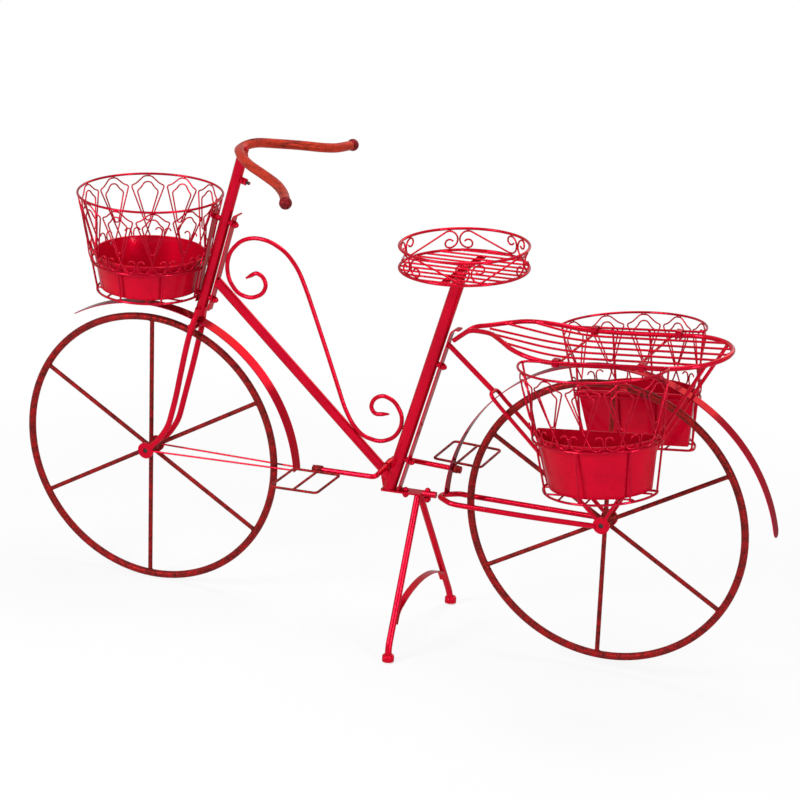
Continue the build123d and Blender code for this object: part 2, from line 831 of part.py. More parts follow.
def base_plate():
    """Flat plate that carries the seat tube, sloping up a little to the rear."""
    middle = (base_front_x + base_plate_end) / 2
    angle = math.degrees(math.atan(base_rise / base_length))
    plate = Box(base_plate_end - base_front_x, base_width, base_thickness)
    plate = fillet(plate.edges().filter_by(Axis.Z), base_width / 6)
    plate = Pos(middle, 0, base_level(middle)) * Rot(Y=-angle) * plate
    return plate - base_bolt_hole(base_bolt_front_x)


def base_bolt_hole(x):
    level = base_level(x)
    return rod((x, 0, level - base_width), (x, 0, level + base_width), bolt_radius + weld_gap)


def stay_bar():
    """Short round bar between the base plate and the chain stays."""
    start = base_plate_end + weld_gap * 3
    bar = rod((start, 0, base_level(start)), (stay_bar_end, 0, base_level(stay_bar_end)), yoke_radius)
    return bar - base_bolt_hole(base_bolt_rear_x) - fat_chain_stays()


def base_bolts():
    """Two round-headed bolts with nuts underneath."""
    bolts = []
    for x, half in ((base_bolt_front_x, base_thickness / 2), (base_bolt_rear_x, yoke_radius)):
        level = base_level(x)
        top = level + half + touch_gap * 2
        low = level - half - touch_gap * 2 - nut_thickness
        shank = rod((x, 0, low), (x, 0, top), bolt_radius)
        bolts.append(shank + Pos(x, 0, top) * half_ball(bolt_head_radius))
        bolts.append(domed_nut((x, 0, level - half - touch_gap * 2), (0, 0, -1)))
    return bolts


def chain_stay_points():
    """From the left hub disc round the front bend to the right hub disc."""
    front = base_front_x + base_length
    half = [(wheelbase - end_disc_radius * 0.7, half_width_at_hubs, rear_hub_rise - rim_radius * 0.5),
            (wheelbase * 0.86, chain_stay_spread * 0.96, base_level(front) + rim_radius * 0.4),
            (wheelbase * 0.70, chain_stay_spread, base_level(front) - rim_radius * 0.1),
            (front + chain_stay_spread, chain_stay_spread * 0.98, base_level(front)),
            (front, chain_stay_spread * 0.25, base_level(front) * 1.01)]
    return [(x, -y, z) for x, y, z in half] + [(x, y, z) for x, y, z in reversed(half)]


def fat_chain_stays():
    return bent_wire(chain_stay_points(), chain_stay_radius + weld_gap)


def chain_stays():
    """One bar bent to a long U, with a disc at each end for the rear axle."""
    bar = bent_wire(chain_stay_points(), chain_stay_radius)
    room = across_drum(rear_hub, end_disc_radius, half_width_at_hubs - end_disc_thickness / 2)
    bar = bar - room + hub_disc(rear_hub, 1) + hub_disc(rear_hub, -1)
    return bar - axle_hole(rear_hub)


def stay_fork_points():
    """From the left hub disc up, over the rear fender and down to the right hub disc."""
    neck = rear_fender_width / 2 + lower_stay_radius + weld_gap * 2
    end_y = half_width_at_hubs - end_disc_thickness * 0.2
    half = [(wheelbase - axle_radius, end_y, rear_hub_rise + axle_radius),
            (wheelbase * 0.91, neck * 1.17, rear_hub_rise + wheel_radius * 0.29),
            (stay_split_x + neck, neck, stay_split_z - neck * 1.1),
            (stay_split_x + neck * 0.1, neck, stay_split_z - neck * 0.15)]
    return [(x, -y, z) for x, y, z in half] + [(x, y, z) for x, y, z in reversed(half)]


def fat_stay_fork():
    return bent_wire(stay_fork_points(), lower_stay_radius + weld_gap)


def seat_strip_room():
    line = [seat_point(base_z, seat_strip_offset), seat_point(seat_strip_top_z, seat_strip_offset)]
    return bent_strip(line, strip_width * 3, strip_thickness + weld_gap * 2)


def seat_stays():
    """Single rod from the seat strip down to the arch, and the arched two-legged stay below it."""
    fork = bent_wire(stay_fork_points(), lower_stay_radius) - disc_cut(rear_hub, 1) - disc_cut(rear_hub, -1)
    start = seat_point(rack_front_z - rack_rail_radius * 1.2, seat_strip_offset)
    single = rod(start, (stay_split_x, 0, stay_split_z), stay_radius)
    return [keep_largest(single - seat_strip_room() - fat_stay_fork()), fork]


# rack

# the rack runs straight from this share of its length, at this share of its arch
straight_start_share = 0.41
straight_level_share = 0.64
# shares of the rack's length and half width, and heights as shares of its front arch
rail_shares = [(0.0, 0.045, 0.0), (0.062, 0.12, 0.74), (0.11, 0.19, 0.85), (0.16, 0.33, 0.97),
               (0.22, 0.63, 0.98), (0.275, 0.85, 0.84), (0.34, 0.97, 0.72),
               (straight_start_share, 1.0, straight_level_share),
               (0.55, 1.0, 0.80), (0.72, 0.99, 1.10)]


def rack_level(x):
    """Height of the rack's middle at a place along it."""
    share = (x - rack_front_x) / rack_length
    flat = rack_front_z + rack_arch * straight_level_share
    ahead = straight_start_share - share
    if ahead > 0:
        hump = rack_arch * (1 - straight_level_share)
        return flat + hump * math.sin(math.pi / 2 * ahead / straight_start_share)
    return flat - ahead * rack_length * math.tan(rack_slope)


def rail_points():
    left = []
    for sx, sy, sz in rail_shares:
        left.append((rack_front_x + sx * rack_length, -sy * rack_half_width, rack_front_z + sz * rack_arch))
    bend_centre = rack_front_x + rack_length - rack_half_width
    bend_radius = rack_half_width / math.cos(math.radians(15))
    back = []
    for degrees in (-75, -45, -15, 15, 45, 75):
        x, y = polar((bend_centre, 0), bend_radius, degrees)
        back.append((x, y, rack_level(x)))
    return left + back + [(x, -y, z) for x, y, z in reversed(left)]


def fat_rail():
    return bent_wire(rail_points(), rack_rail_radius + weld_gap)


def rack_rail():
    """One round bar bent into the rack's outline, both ends meeting behind the seat strip."""
    return bent_wire(rail_points(), rack_rail_radius) - seat_strip_room()


def rail_place(width_share):
    """Point on the front bend of the rail where it has reached a share of its half width."""
    shares = rail_shares
    for (x0, y0, z0), (x1, y1, z1) in zip(shares, shares[1:]):
        if y0 <= width_share <= y1:
            part = (width_share - y0) / (y1 - y0)
            x = rack_front_x + (x0 + part * (x1 - x0)) * rack_length
            return x, rack_front_z + (z0 + part * (z1 - z0)) * rack_arch
    return rack_front_x + shares[-1][0] * rack_length, rack_front_z


def rack_wires():
    """Long wires between the rail's front and rear bends, on two crossbars."""
    wires = []
    step = 2.0 / (rack_wire_count + 1)
    bend_centre = rack_front_x + rack_length - rack_half_width
    cut = fat_rail()
    for i in range(rack_wire_count):
        share = -1 + step * (i + 1)
        y = share * rack_half_width
        if abs(share) < 0.01:
            start_x = rack_front_x + rack_length * 0.13
            start_z = rack_front_z + rack_arch * 0.89
        else:
            start_x, start_z = rail_place(abs(share))
        end_x = bend_centre + math.sqrt(rack_half_width ** 2 - y ** 2)
        bend_x = rack_front_x + rack_length * 0.42
        points = [(start_x, y, start_z), (bend_x, y, rack_level(bend_x)), (end_x, y, rack_level(end_x))]
        wires.append(keep_largest(bent_wire(points, rack_wire_radius) - cut))
    for x in (crossbar_front_x, crossbar_rear_x):
        wires.append(keep_largest(crossbar(x, crossbar_radius) - cut))
    return wires


def crossbar(x, radius, overrun=0.0):
    """Straight bar from rail to rail under the long wires."""
    level = rack_level(x) - rack_wire_radius - crossbar_radius - weld_gap
    reach = rack_half_width + overrun
    return rod((x, -reach, level), (x, reach, level), radius)


def keep_largest(part):
    """The main solid of a trimmed piece, without end slivers."""
    return max(part.solids(), key=lambda solid: solid.volume)


def rack_stays():
    """Two rods from the rear bend of the rack to the rear hub discs."""
    bend_centre = rack_front_x + rack_length - rack_half_width
    y = math.sqrt(rack_half_width ** 2 - (rack_stay_top_x - bend_centre) ** 2)
    level = rack_level(rack_stay_top_x)
    stay = rod((rack_stay_top_x, y, level), (wheelbase, half_width_at_hubs, rear_hub_rise), rack_stay_radius)
    return both_sides(keep_largest(stay - fat_rail() - disc_cut(rear_hub, 1)))


# stand

def leg_points():
    knee = (leg_foot_x - leg_radius * 0.3, leg_foot_y * 0.967, floor_z + foot_height * 2.3)
    foot = (leg_foot_x, leg_foot_y, floor_z + pad_thickness + foot_height * 0.3)
    top = (leg_top_x, leg_radius * 0.4, base_level(leg_top_x))
    return [top, knee, foot]


def stand_legs():
    """Two tubes, mitred against each other under the base plate."""
    leg = bent_tube(leg_points(), leg_radius, leg_wall)
    size = leg_foot_y
    beside = Pos(leg_top_x, -size / 2 + weld_gap / 2, 0) * Box(size, size, size)
    angle = math.degrees(math.atan(base_rise / base_length))
    level = base_level(leg_top_x) - base_thickness / 2 - weld_gap
    above = Pos(leg_top_x, 0, level) * Rot(Y=-angle) * Pos(0, 0, size / 2) * Box(size, size, size)
    return both_sides(leg - beside - above)


def foot_cups():
    """Cups that hold the legs' ends."""
    cup = Cylinder(foot_radius, foot_height, align=(Align.CENTER, Align.CENTER, Align.MIN))
    cup = fillet(cup.edges().sort_by(Axis.Z)[-1:], foot_round)
    cup = Pos(leg_foot_x, leg_foot_y, floor_z + pad_thickness) * cup
    knee, bottom = [Vector(*point) for point in leg_points()[-2:]]
    end = bottom + (bottom - knee).normalized() * weld_gap
    return both_sides(cup - rod(knee, end, leg_radius + weld_gap))


def foot_pads():
    """White pads under the cups."""
    pad = Cylinder(pad_radius, pad_thickness, align=(Align.CENTER, Align.CENTER, Align.MIN))
    return both_sides(Pos(leg_foot_x, leg_foot_y, floor_z) * pad)


def stand_brace():
    """Arched flat bar between the legs, its ends bent down along them."""
    top, knee, _ = [Vector(*point) for point in leg_points()]
    aim = (knee - top).normalized()
    inward = Vector(0, aim.Z, -aim.Y)
    offset = leg_radius + brace_thickness / 2 + weld_gap
    high = top + aim * (knee - top).length * 0.765 + inward * offset
    low = top + aim * (knee - top).length * 0.85 + inward * offset
    rise = brace_width * 1.7
    half = [(low.X, low.Y, low.Z), (high.X, high.Y, high.Z),
            (high.X, high.Y * 0.55, high.Z + rise * 0.80)]
    crown = (high.X, 0, high.Z + rise * 1.12)
    left = [(x, -y, z) for x, y, z in half]
    points = left + [crown] + list(reversed(half))
    return bent_strip(points, brace_width, brace_thickness, (1, 0, 0))


# plant tray

def in_tray(part):
    """Place a piece that is laid out flat about the middle of the tray's bottom ring."""
    tilt = math.radians(tray_tilt_degrees)
    return Plane(origin=(tray_x, 0, tray_z), x_dir=(math.cos(tilt), 0, math.sin(tilt)),
                 z_dir=(-math.sin(tilt), 0, math.cos(tilt))) * part


def tray_rings():
    return [in_tray(ring((0, 0, z), tray_radius, tray_ring_radius)) for z in (0, tray_height)]


def tray_curve():
    """Flat layout of one scroll: a curl, a C, a long diagonal, the next C and its curl."""
    reach = tray_ring_radius + tray_scroll_radius + touch_gap
    curl_share = 0.5
    bow = (tray_height - 2 * reach) / 2
    middle = reach + bow
    span = 2 * math.pi * tray_radius / tray_scroll_count
    start = bow + tray_scroll_radius + touch_gap
    curl = bow * curl_share
    step = 35
    grown = 1 / math.cos(math.radians(step / 2))
    half = [polar((start, reach + curl), curl * grown, degrees) for degrees in (150, 110, 65, 20, -25, -65)]
    half += [polar((start, middle), bow * grown, 255 - step * i) for i in range(6)]
    other = [(span - x, tray_height - y) for x, y in reversed(half)]
    return half + other


def tray_scrolls():
    """S-scrolls bent round between the two rings, each the mirror image of the one before."""
    wires = []
    for i in range(tray_scroll_count):
        begin = math.radians(tray_scroll_turn_degrees + i * 360 / tray_scroll_count)
        points = []
        for along, height in tray_curve():
            level = height if i % 2 == 0 else tray_height - height
            angle = begin + along / tray_radius
            points.append((tray_radius * math.cos(angle), tray_radius * math.sin(angle), level))
        wires.append(in_tray(bent_wire(points, tray_scroll_radius)))
    return wires


def tray_strap_level():
    return -(tray_wire_radius + tray_strap_thickness / 2 + weld_gap)


def tray_floor():
    """Parallel wires across the bottom ring and the flat strap under them."""
    step = 2 * tray_radius / tray_wire_count
    cut = ring((0, 0, 0), tray_radius, tray_ring_radius + weld_gap)
    pieces = []
    for i in range(tray_wire_count):
        y = -tray_radius + step * (i + 0.5)
        half = math.sqrt(tray_radius ** 2 - y ** 2)
        pieces.append(in_tray(keep_largest(rod((-half, y, 0), (half, y, 0), tray_wire_radius) - cut)))
    strap = Pos(0, 0, tray_strap_level()) * Box(tray_strap_width, tray_radius * 1.62, tray_strap_thickness)
    hole = Cylinder(bolt_radius + weld_gap, tray_height)
    return pieces + [in_tray(strap - hole)]


def tray_bolt():
    """Banded post on the seat tube's end, and the bolt that holds the strap on it."""
    start = seat_point(seat_tube_top_z, 0)
    length = (tray_z - seat_tube_top_z) * 1.3
    aim = (math.sin(seat_tilt), 0, math.cos(seat_tilt))
    base = Plane(origin=start, z_dir=aim)
    post = Cylinder(tray_post_radius, length, align=(Align.CENTER, Align.CENTER, Align.MIN))
    band = (tray_z - seat_tube_top_z) / (tray_post_bands * 2 + 2)
    for i in range(tray_post_bands):
        groove = Cylinder(tray_post_radius * 2, band, align=(Align.CENTER, Align.CENTER, Align.MIN))
        groove -= Cylinder(tray_post_radius - tray_post_groove, band * 3)
        post -= Pos(0, 0, band * (2 * i + 2)) * groove
    collar = Cylinder(seat_tube_radius, band, align=(Align.CENTER, Align.CENTER, Align.MIN))
    post = base * Pos(0, 0, weld_gap) * (post + collar)
    under = tray_strap_level() - tray_strap_thickness / 2 - weld_gap
    room = Pos(0, 0, under + tray_radius) * Box(tray_radius * 2, tray_radius * 2, tray_radius * 2)
    top = tray_strap_level() + tray_strap_thickness / 2 + weld_gap
    depth = tray_bolt_head_height
    shank = Cylinder(bolt_radius, depth * 2, align=(Align.CENTER, Align.CENTER, Align.MAX))
    bolt = Pos(0, 0, top) * (half_ball(tray_bolt_head_radius) + shank)
    hole = Pos(0, 0, top + weld_gap) * Cylinder(bolt_radius + weld_gap, depth * 2 + weld_gap * 2,
                                                align=(Align.CENTER, Align.CENTER, Align.MAX))
    return [post - in_tray(room) - in_tray(hole), in_tray(bolt)]


# nested wire motifs of the baskets

# sideways shares of the local half pitch and heights as shares of the height between the rings
ogee_shares = [(0.20, 1.0), (0.42, 0.915), (0.66, 0.86), (0.93, 0.838)]
loop_shares = [(0.17, 0.885), (0.38, 0.80), (0.60, 0.755)]
crossing_share = 0.19
foot_share = 0.10
loop_foot_share = 0.235
# radii of the hook's wide foot and of its narrow top, as shares of the half pitch
hook_foot_share = 0.40
hook_top_share = 0.215
hook_rise_share = 0.05
hook_step_degrees = 45


def motif(place, half_pitch, height):
    """Outer wire with crossing legs and two hooks, and the closed loop inside it.

    place turns a sideways distance, a height and an offset outwards into a point in space, and
    half_pitch gives half the distance between two motifs at a height. The loop's ends meet on one leg.
    """
    seat = ring_radius + motif_radius + touch_gap
    shift = (motif_radius + weld_gap) * 1.2
    top = height - seat
    right = []
    for sx, sz in ogee_shares:
        level = min(sz * height, top)
        right.append((sx * half_pitch(level), level, 0))
    shoulder, shoulder_level, _ = right[-1]
    slope = shoulder / (shoulder_level - crossing_share * height)
    foot_level = foot_share * height
    foot = slope * (crossing_share * height - foot_level)
    side_limit = half_pitch(0) - motif_radius - touch_gap / 2
    wide = hook_foot_share * half_pitch(0)
    narrow = hook_top_share * half_pitch(0)
    wide_centre = (side_limit - wide, seat + wide)
    narrow_centre = (side_limit - narrow, seat + wide + hook_rise_share * height)
    grown = 1 / math.cos(math.radians(hook_step_degrees / 2))
    tail = [(foot, foot_level, shift)]
    for centre, radius, start_degrees in ((wide_centre, wide, 232), (narrow_centre, narrow, 30)):
        for i in range(4):
            x, z = polar(centre, radius * grown, start_degrees + hook_step_degrees * i)
            tail.append((x, z, shift * 0.5 if len(tail) == 1 else 0))
    ogee = [(x, z, n) for x, z, n in reversed(tail)]
    ogee += [(-x, z, 0) for x, z, n in reversed(right)]
    ogee += right
    ogee += [(-x, z, -n) for x, z, n in tail]
    half = [(sx * half_pitch(sz * height), sz * height, 0) for sx, sz in loop_shares]
    low = loop_foot_share * height
    side, high, _ = half[-1]
    seam = (low + high) / 2
    ends = [(side * (level - low) / (high - low), level, 0) for level in (seam - weld_gap, seam)]
    loop = [ends[0], (0, low, 0)] + [(-x, z, 0) for x, z, n in reversed(half)] + half + [ends[1]]
    wire = bent_wire([place(*point) for point in ogee], motif_radius)
    inner = bent_wire([place(*point) for point in loop], motif_radius)
    return [wire, inner]


# front basket

front_rings = ((front_basket_bottom_z, front_basket_bottom_radius),
               (front_basket_mid_z, front_basket_mid_radius),
               (front_basket_top_z, front_basket_top_radius))
floor_layer = floor_wire_radius * 2 + weld_gap


def front_basket_rings():
    return [ring((front_basket_x, 0, z), size, ring_radius) for z, size in front_rings]


def front_basket_motifs():
    height = front_basket_top_z - front_basket_mid_z
    widening = (front_basket_top_radius - front_basket_mid_radius) / height
    wires = []
    for i in range(front_motif_count):
        middle = 2 * math.pi * i / front_motif_count

        def place(sideways, level, offset):
            radius = front_basket_mid_radius + widening * level
            angle = middle + sideways / radius
            x = front_basket_x + (radius + offset) * math.cos(angle)
            return (x, (radius + offset) * math.sin(angle), front_basket_mid_z + level)

        def half_pitch(level):
            return math.pi * (front_basket_mid_radius + widening * level) / front_motif_count

        wires += motif(place, half_pitch, height)
    return wires


def front_basket_ribs():
    """Ribs between the lower two rings, and four floor wires in two crossed layers."""
    cuts = [ring((front_basket_x, 0, z), size, ring_radius + weld_gap) for z, size in front_rings[:2]]
    ribs = []
    for i in range(front_rib_count):
        angle = math.radians(front_rib_turn_degrees) + 2 * math.pi * i / front_rib_count
        ends = [(front_basket_x + size * math.cos(angle), size * math.sin(angle), z)
                for z, size in front_rings[:2]]
        ribs.append(keep_largest(rod(*ends, rib_radius) - cuts[0] - cuts[1]))
    away = front_basket_bottom_radius * 0.4
    half = math.sqrt(front_basket_bottom_radius ** 2 - away ** 2)
    for side in (-away, away):
        low = rod((front_basket_x - half, side, front_basket_bottom_z),
                  (front_basket_x + half, side, front_basket_bottom_z), floor_wire_radius)
        level = front_basket_bottom_z + floor_layer
        x = front_basket_x + side
        high = rod((x, -half, level), (x, half, level), floor_wire_radius)
        ribs += [keep_largest(low - cuts[0]), keep_largest(high - cuts[0])]
    return ribs


def bracket_points():
    """Middle line of the basket's strip, which lies on the three rings."""
    slope = bracket_slope()
    points = []
    for z in (front_basket_bottom_z - bracket_width / 2, front_basket_top_z - bracket_width / 3):
        ring_face = front_basket_x + front_basket_bottom_radius + slope * (z - front_basket_bottom_z)
        gap = (ring_radius + weld_gap * 2 + bracket_thickness / 2) * math.sqrt(1 + slope ** 2)
        points.append((ring_face + gap, 0, z))
    return points


def front_basket_bracket():
    """Flat strip down the basket's back, drilled for the two long bolts."""
    strip = bent_strip(bracket_points(), bracket_width, bracket_thickness)
    for height in (head_bolt_high_z, head_bolt_low_z):
        strip -= rod(stem_point(height, -stem_radius * 4), stem_point(height), bolt_radius + weld_gap)
    return strip


def bracket_room():
    return bent_strip(bracket_points(), bracket_width * 3, bracket_thickness + weld_gap * 2)


def front_pot():
    """Round sheet pot with a rolled rim and a small hole near it, standing on the upper floor wires."""
    floor = front_basket_bottom_z + floor_layer + floor_wire_radius + touch_gap
    slope = (front_pot_top_radius - front_pot_bottom_radius) / front_pot_height
    inner_top = front_pot_top_radius - pot_wall
    inner_bottom = front_pot_bottom_radius + slope * pot_wall - pot_wall
    profile = [(0, 0), (front_pot_bottom_radius, 0), (front_pot_top_radius, front_pot_height),
               (inner_top, front_pot_height), (inner_bottom, pot_wall), (0, pot_wall)]
    shell = revolve(Plane.XZ * make_face(Polyline(*profile, close=True)), Axis.Z)
    shell += Pos(0, 0, front_pot_height) * Torus(front_pot_top_radius, pot_bead_radius)
    level = front_pot_height - pot_hole_radius * 3
    hole = Rot(Z=front_pot_hole_degrees) * rod((front_pot_bottom_radius / 2, 0, level),
                                               (front_pot_top_radius * 1.5, 0, level), pot_hole_radius)
    return Pos(front_basket_x, 0, floor) * (shell - hole)


# side baskets, laid out with x along the back, y outwards and z up from the bottom ring

# places of the motifs and of the ribs under them, as shares of the curved front's length
side_motif_start_share = 0.016
side_motif_pitch_share = 0.18
side_rib_shares = (0.243, 0.53, 0.82)

side_tilt = math.radians(side_basket_tilt_degrees)
side_back_y = rack_half_width + rack_rail_radius + ring_radius + weld_gap * 2
side_mid_level = side_basket_height_to_bottom - side_basket_height_to_mid
side_sizes = ((0, side_basket_bottom_half_length, side_basket_bottom_depth),
              (side_mid_level, side_basket_mid_half_length, side_basket_mid_depth),
              (side_basket_height_to_bottom, side_basket_top_half_length, side_basket_top_depth))


def side_middle_x(side):
    """Middle of a side basket; the right one hangs a little further ahead."""
    return side_basket_x - (right_basket_ahead if side > 0 else 0)


def at_side(part, side):
    """Place a basket piece beside the rack. Both baskets are the same, so the right one is turned round."""
    drop = side_basket_height_to_bottom
    origin = (side_middle_x(side) + drop * math.sin(side_tilt), side_back_y,
              side_basket_top_z - drop * math.cos(side_tilt))
    place = Plane(origin=origin, x_dir=(math.cos(side_tilt), 0, math.sin(side_tilt)),
                  z_dir=(-math.sin(side_tilt), 0, math.cos(side_tilt)))
    if side > 0:
        return place * mirror(part, about=Plane.YZ)
    return mirrored(place * part)


def side_size(level):
    """Half length and depth of the basket at a level above its bottom ring."""
    for (z0, a0, d0), (z1, a1, d1) in zip(side_sizes, side_sizes[1:]):
        if level <= z1:
            part = (level - z0) / (z1 - z0)
            return a0 + part * (a1 - a0), d0 + part * (d1 - d0)
    return side_sizes[-1][1:]


def side_outline(half_length, depth, level):
    """Corners of a ring: a straight back and half an ellipse."""
    steps = 12
    grown = 1 / math.cos(math.pi / steps / 2)
    points = [(half_length, 0, level)]
    for i in range(1, steps):
        angle = math.pi * i / steps
        points.append((half_length * grown * math.cos(angle), depth * grown * math.sin(angle), level))
    return points + [(-half_length, 0, level)]


def curve_lengths(half_length, depth):
    """Running length of the curved front, in equal steps of its angle."""
    steps = 120
    total = 0.0
    lengths = [total]
    for i in range(steps):
        ends = [(half_length * math.cos(math.pi * k / steps), depth * math.sin(math.pi * k / steps))
                for k in (i, i + 1)]
        total += math.dist(*ends)
        lengths.append(total)
    return lengths


def front_curve_point(level, share, sideways=0.0, offset=0.0):
    """Point on the curved front at a share of its length, moved further along it and outwards."""
    half_length, depth = side_size(level)
    lengths = curve_lengths(half_length, depth)
    aim = share * lengths[-1] + sideways
    i = max(k for k, length in enumerate(lengths[:-1]) if length <= aim)
    part = (aim - lengths[i]) / (lengths[i + 1] - lengths[i])
    angle = math.pi * (i + part) / (len(lengths) - 1)
    out = Vector(math.cos(angle) / half_length, math.sin(angle) / depth, 0).normalized()
    return (half_length * math.cos(angle) + offset * out.X, depth * math.sin(angle) + offset * out.Y, level)


def side_ring_paths(radius):
    return [bent_wire(side_outline(a, d, z), radius, closed=True) for z, a, d in side_sizes]


def side_basket_rings(side):
    return [at_side(wire, side) for wire in side_ring_paths(ring_radius)]


def corner_place(level, end):
    """Middle of the rounded corner between back and front."""
    half_length, depth = side_size(level)
    inset = depth * 0.035
    return (end * (half_length - inset), inset, level)


def side_basket_ribs(side):
    """Corner posts, posts on the flat back, ribs under the curls and the crossed floor wires."""
    low_cut, mid_cut, top_cut = side_ring_paths(ring_radius + weld_gap)
    levels = [size[0] for size in side_sizes]
    pieces = []
    for end in (-1, 1):
        places = [corner_place(level, end) for level in levels]
        back = end * side_basket_bottom_half_length / 3
        for low, mid, top in (places, [(back, 0, level) for level in levels]):
            pieces.append(keep_largest(rod(low, mid, rib_radius) - low_cut - mid_cut))
            pieces.append(keep_largest(rod(mid, top, rib_radius) - mid_cut - top_cut))
    for share in side_rib_shares:
        low = front_curve_point(levels[0], share)
        mid = front_curve_point(levels[1], share)
        pieces.append(keep_largest(rod(low, mid, rib_radius) - low_cut - mid_cut))
    half_length, depth = side_sizes[0][1:]
    for share in (-0.5, 0.0, 0.5):
        x = share * half_length
        y = depth * math.sqrt(1 - share ** 2)
        pieces.append(keep_largest(rod((x, 0, 0), (x, y, 0), floor_wire_radius) - low_cut))
    for share in (0.28, 0.66):
        y = share * depth
        x = half_length * math.sqrt(1 - share ** 2)
        wire = rod((-x, y, floor_layer), (x, y, floor_layer), floor_wire_radius)
        pieces.append(keep_largest(wire - low_cut))
    return [at_side(piece, side) for piece in pieces]


def side_basket_motifs(side):
    """Motifs along the curved front, which start at one corner and leave a gap at the other."""
    height = side_basket_height_to_mid
    wires = []
    for i in range(side_motif_count):
        middle = side_motif_start_share + side_motif_pitch_share * (i + 0.5)

        def place(sideways, level, offset):
            return front_curve_point(side_mid_level + level, middle, sideways, offset)

        def half_pitch(level):
            return side_motif_pitch_share * curve_lengths(*side_size(side_mid_level + level))[-1] / 2

        wires += motif(place, half_pitch, height)
    return [at_side(wire, side) for wire in wires]


def basket_clips():
    """Blocks that clamp each basket's back wire to the rack's rail."""
    clips = []
    fat = fat_rail()
    outline = side_outline(side_basket_top_half_length, side_basket_top_depth, side_basket_height_to_bottom)
    fat_wire = bent_wire(outline, ring_radius + weld_gap, closed=True)
    places = [(x, side) for x in (clip_front_x, clip_rear_x) for side in (-1, 1)]
    for x, side in places:
        rail_level = rack_level(x)
        wire_level = side_basket_top_z + (x - side_middle_x(side)) * math.tan(side_tilt)
        low = rail_level - rack_rail_radius - clip_wall
        high = max(wire_level + ring_radius, rail_level + rack_rail_radius) + clip_wall
        inner = rack_half_width - rack_rail_radius - clip_wall * 2
        outer = side_back_y + ring_radius * 0.4
        block = Box(clip_length, outer - inner, high - low)
        block = fillet(block.edges().filter_by(Axis.X), clip_wall / 2)
        block = Pos(x, side * (inner + outer) / 2, (low + high) / 2) * block
        bar_room = crossbar(x, crossbar_radius + weld_gap, weld_gap)
        clips.append(keep_largest(block - fat - at_side(fat_wire, side) - bar_room))
    return clips


def half_oval(half_length, depth):
    """Half an ellipse closed by its straight back."""
    arc = EllipticalCenterArc((0, 0), half_length, depth, 0, arc_size=180)
    return make_face(Curve() + [arc, Line((-half_length, 0), (half_length, 0))])


def side_pot(side):
    """Half-round sheet pot with a flat back and a narrow rim, standing on the basket's floor wires."""
    base = floor_layer + floor_wire_radius + touch_gap
    spread = (side_pot_top_half_length - side_pot_bottom_half_length) / side_pot_height
    deepening = (side_pot_top_depth - side_pot_bottom_depth) / side_pot_height
    outer = [half_oval(side_pot_bottom_half_length, side_pot_bottom_depth),
             Pos(0, 0, side_pot_height) * half_oval(side_pot_top_half_length, side_pot_top_depth)]
    shell = loft(outer, ruled=True)
    rise = side_pot_height + cut_overrun
    inner = []
    for level in (pot_wall, rise):
        half_length = side_pot_bottom_half_length + spread * level - pot_wall
        depth = side_pot_bottom_depth + deepening * level - pot_wall * 2
        inner.append(Pos(0, pot_wall, level) * half_oval(half_length, depth))
    room = loft(inner, ruled=True)
    rim = half_oval(side_pot_top_half_length + pot_bead_radius, side_pot_top_depth + pot_bead_radius * 2)
    rim = Pos(0, -pot_bead_radius, side_pot_height - pot_bead_radius * 2) * extrude(rim, pot_bead_radius * 2)
    shell = (shell + rim) - room
    return at_side(Pos(0, side_pot_back_gap, base) * shell, side)


# crank rod and pedals

def crank_points():
    return [crank_point(-crank_left_arm, -crank_left_reach, -crank_left_drop),
            crank_point(0, -crank_left_reach, 0), crank_point(0, crank_right_reach, 0),
            crank_point(crank_right_arm, crank_right_reach, -crank_right_drop)]


def crank_rod():
    """Round rod bent twice, with an arm at each end."""
    return bent_wire(crank_points(), crank_radius, limit=crank_bend_radius)


def arm_plane(side):
    """Origin at the arm's free end, x towards the axle, y outwards from the bike."""
    points = crank_points()
    tip, elbow = (points[0], points[1]) if side < 0 else (points[3], points[2])
    along = (Vector(*elbow) - Vector(*tip)).normalized()
    out = Vector(0, side, 0)
    up = along.cross(out) if side * along.X < 0 else out.cross(along)
    up = up if up.Z > 0 else -up
    return Plane(origin=tip, x_dir=along, z_dir=up)


pedal_middle = crank_end_length + crank_nut_thickness + pedal_end_gap * 2 + pedal_sleeve_length / 2


def crank_nuts():
    nuts = []
    for side in (-1, 1):
        nut = extrude(RegularPolygon(crank_nut_across_flats / 2, 6, major_radius=False), crank_nut_thickness)
        nut -= Cylinder(crank_radius + weld_gap, crank_nut_thickness * 3)
        nuts.append(arm_plane(side) * Pos(crank_end_length, 0, 0) * Rot(Y=90) * nut)
    return nuts


def pedal(side):
    """Rectangular wire pedal with one middle wire, on a sleeve that turns on the crank's arm."""
    plane = arm_plane(side)
    out = 1 if plane.y_dir.Y * side > 0 else -1
    nut_corner = crank_nut_across_flats / 2 / math.cos(math.radians(30))
    rise = pedal_left_rise if side < 0 else pedal_right_rise
    inner = nut_corner + touch_gap + pedal_wire_radius
    outer = out * (inner + pedal_width)
    near = pedal_middle - pedal_length / 2
    far = pedal_middle + pedal_length / 2
    corners = [(near, out * inner, rise), (far, out * inner, rise), (far, outer, rise), (near, outer, rise)]
    frame = bent_wire(corners, pedal_wire_radius, closed=True, limit=pedal_corner_radius)
    middle = rod((pedal_middle, 0, rise), (pedal_middle, outer, rise), pedal_wire_radius)
    sleeve = Pos(pedal_middle, 0, 0) * Rot(Y=90) * Cylinder(pedal_sleeve_radius, pedal_sleeve_length)
    bore = Rot(Y=90) * Cylinder(crank_radius + running_clearance, pedal_length * 3)
    return plane * (frame + middle + sleeve - bore)


# pieces and files

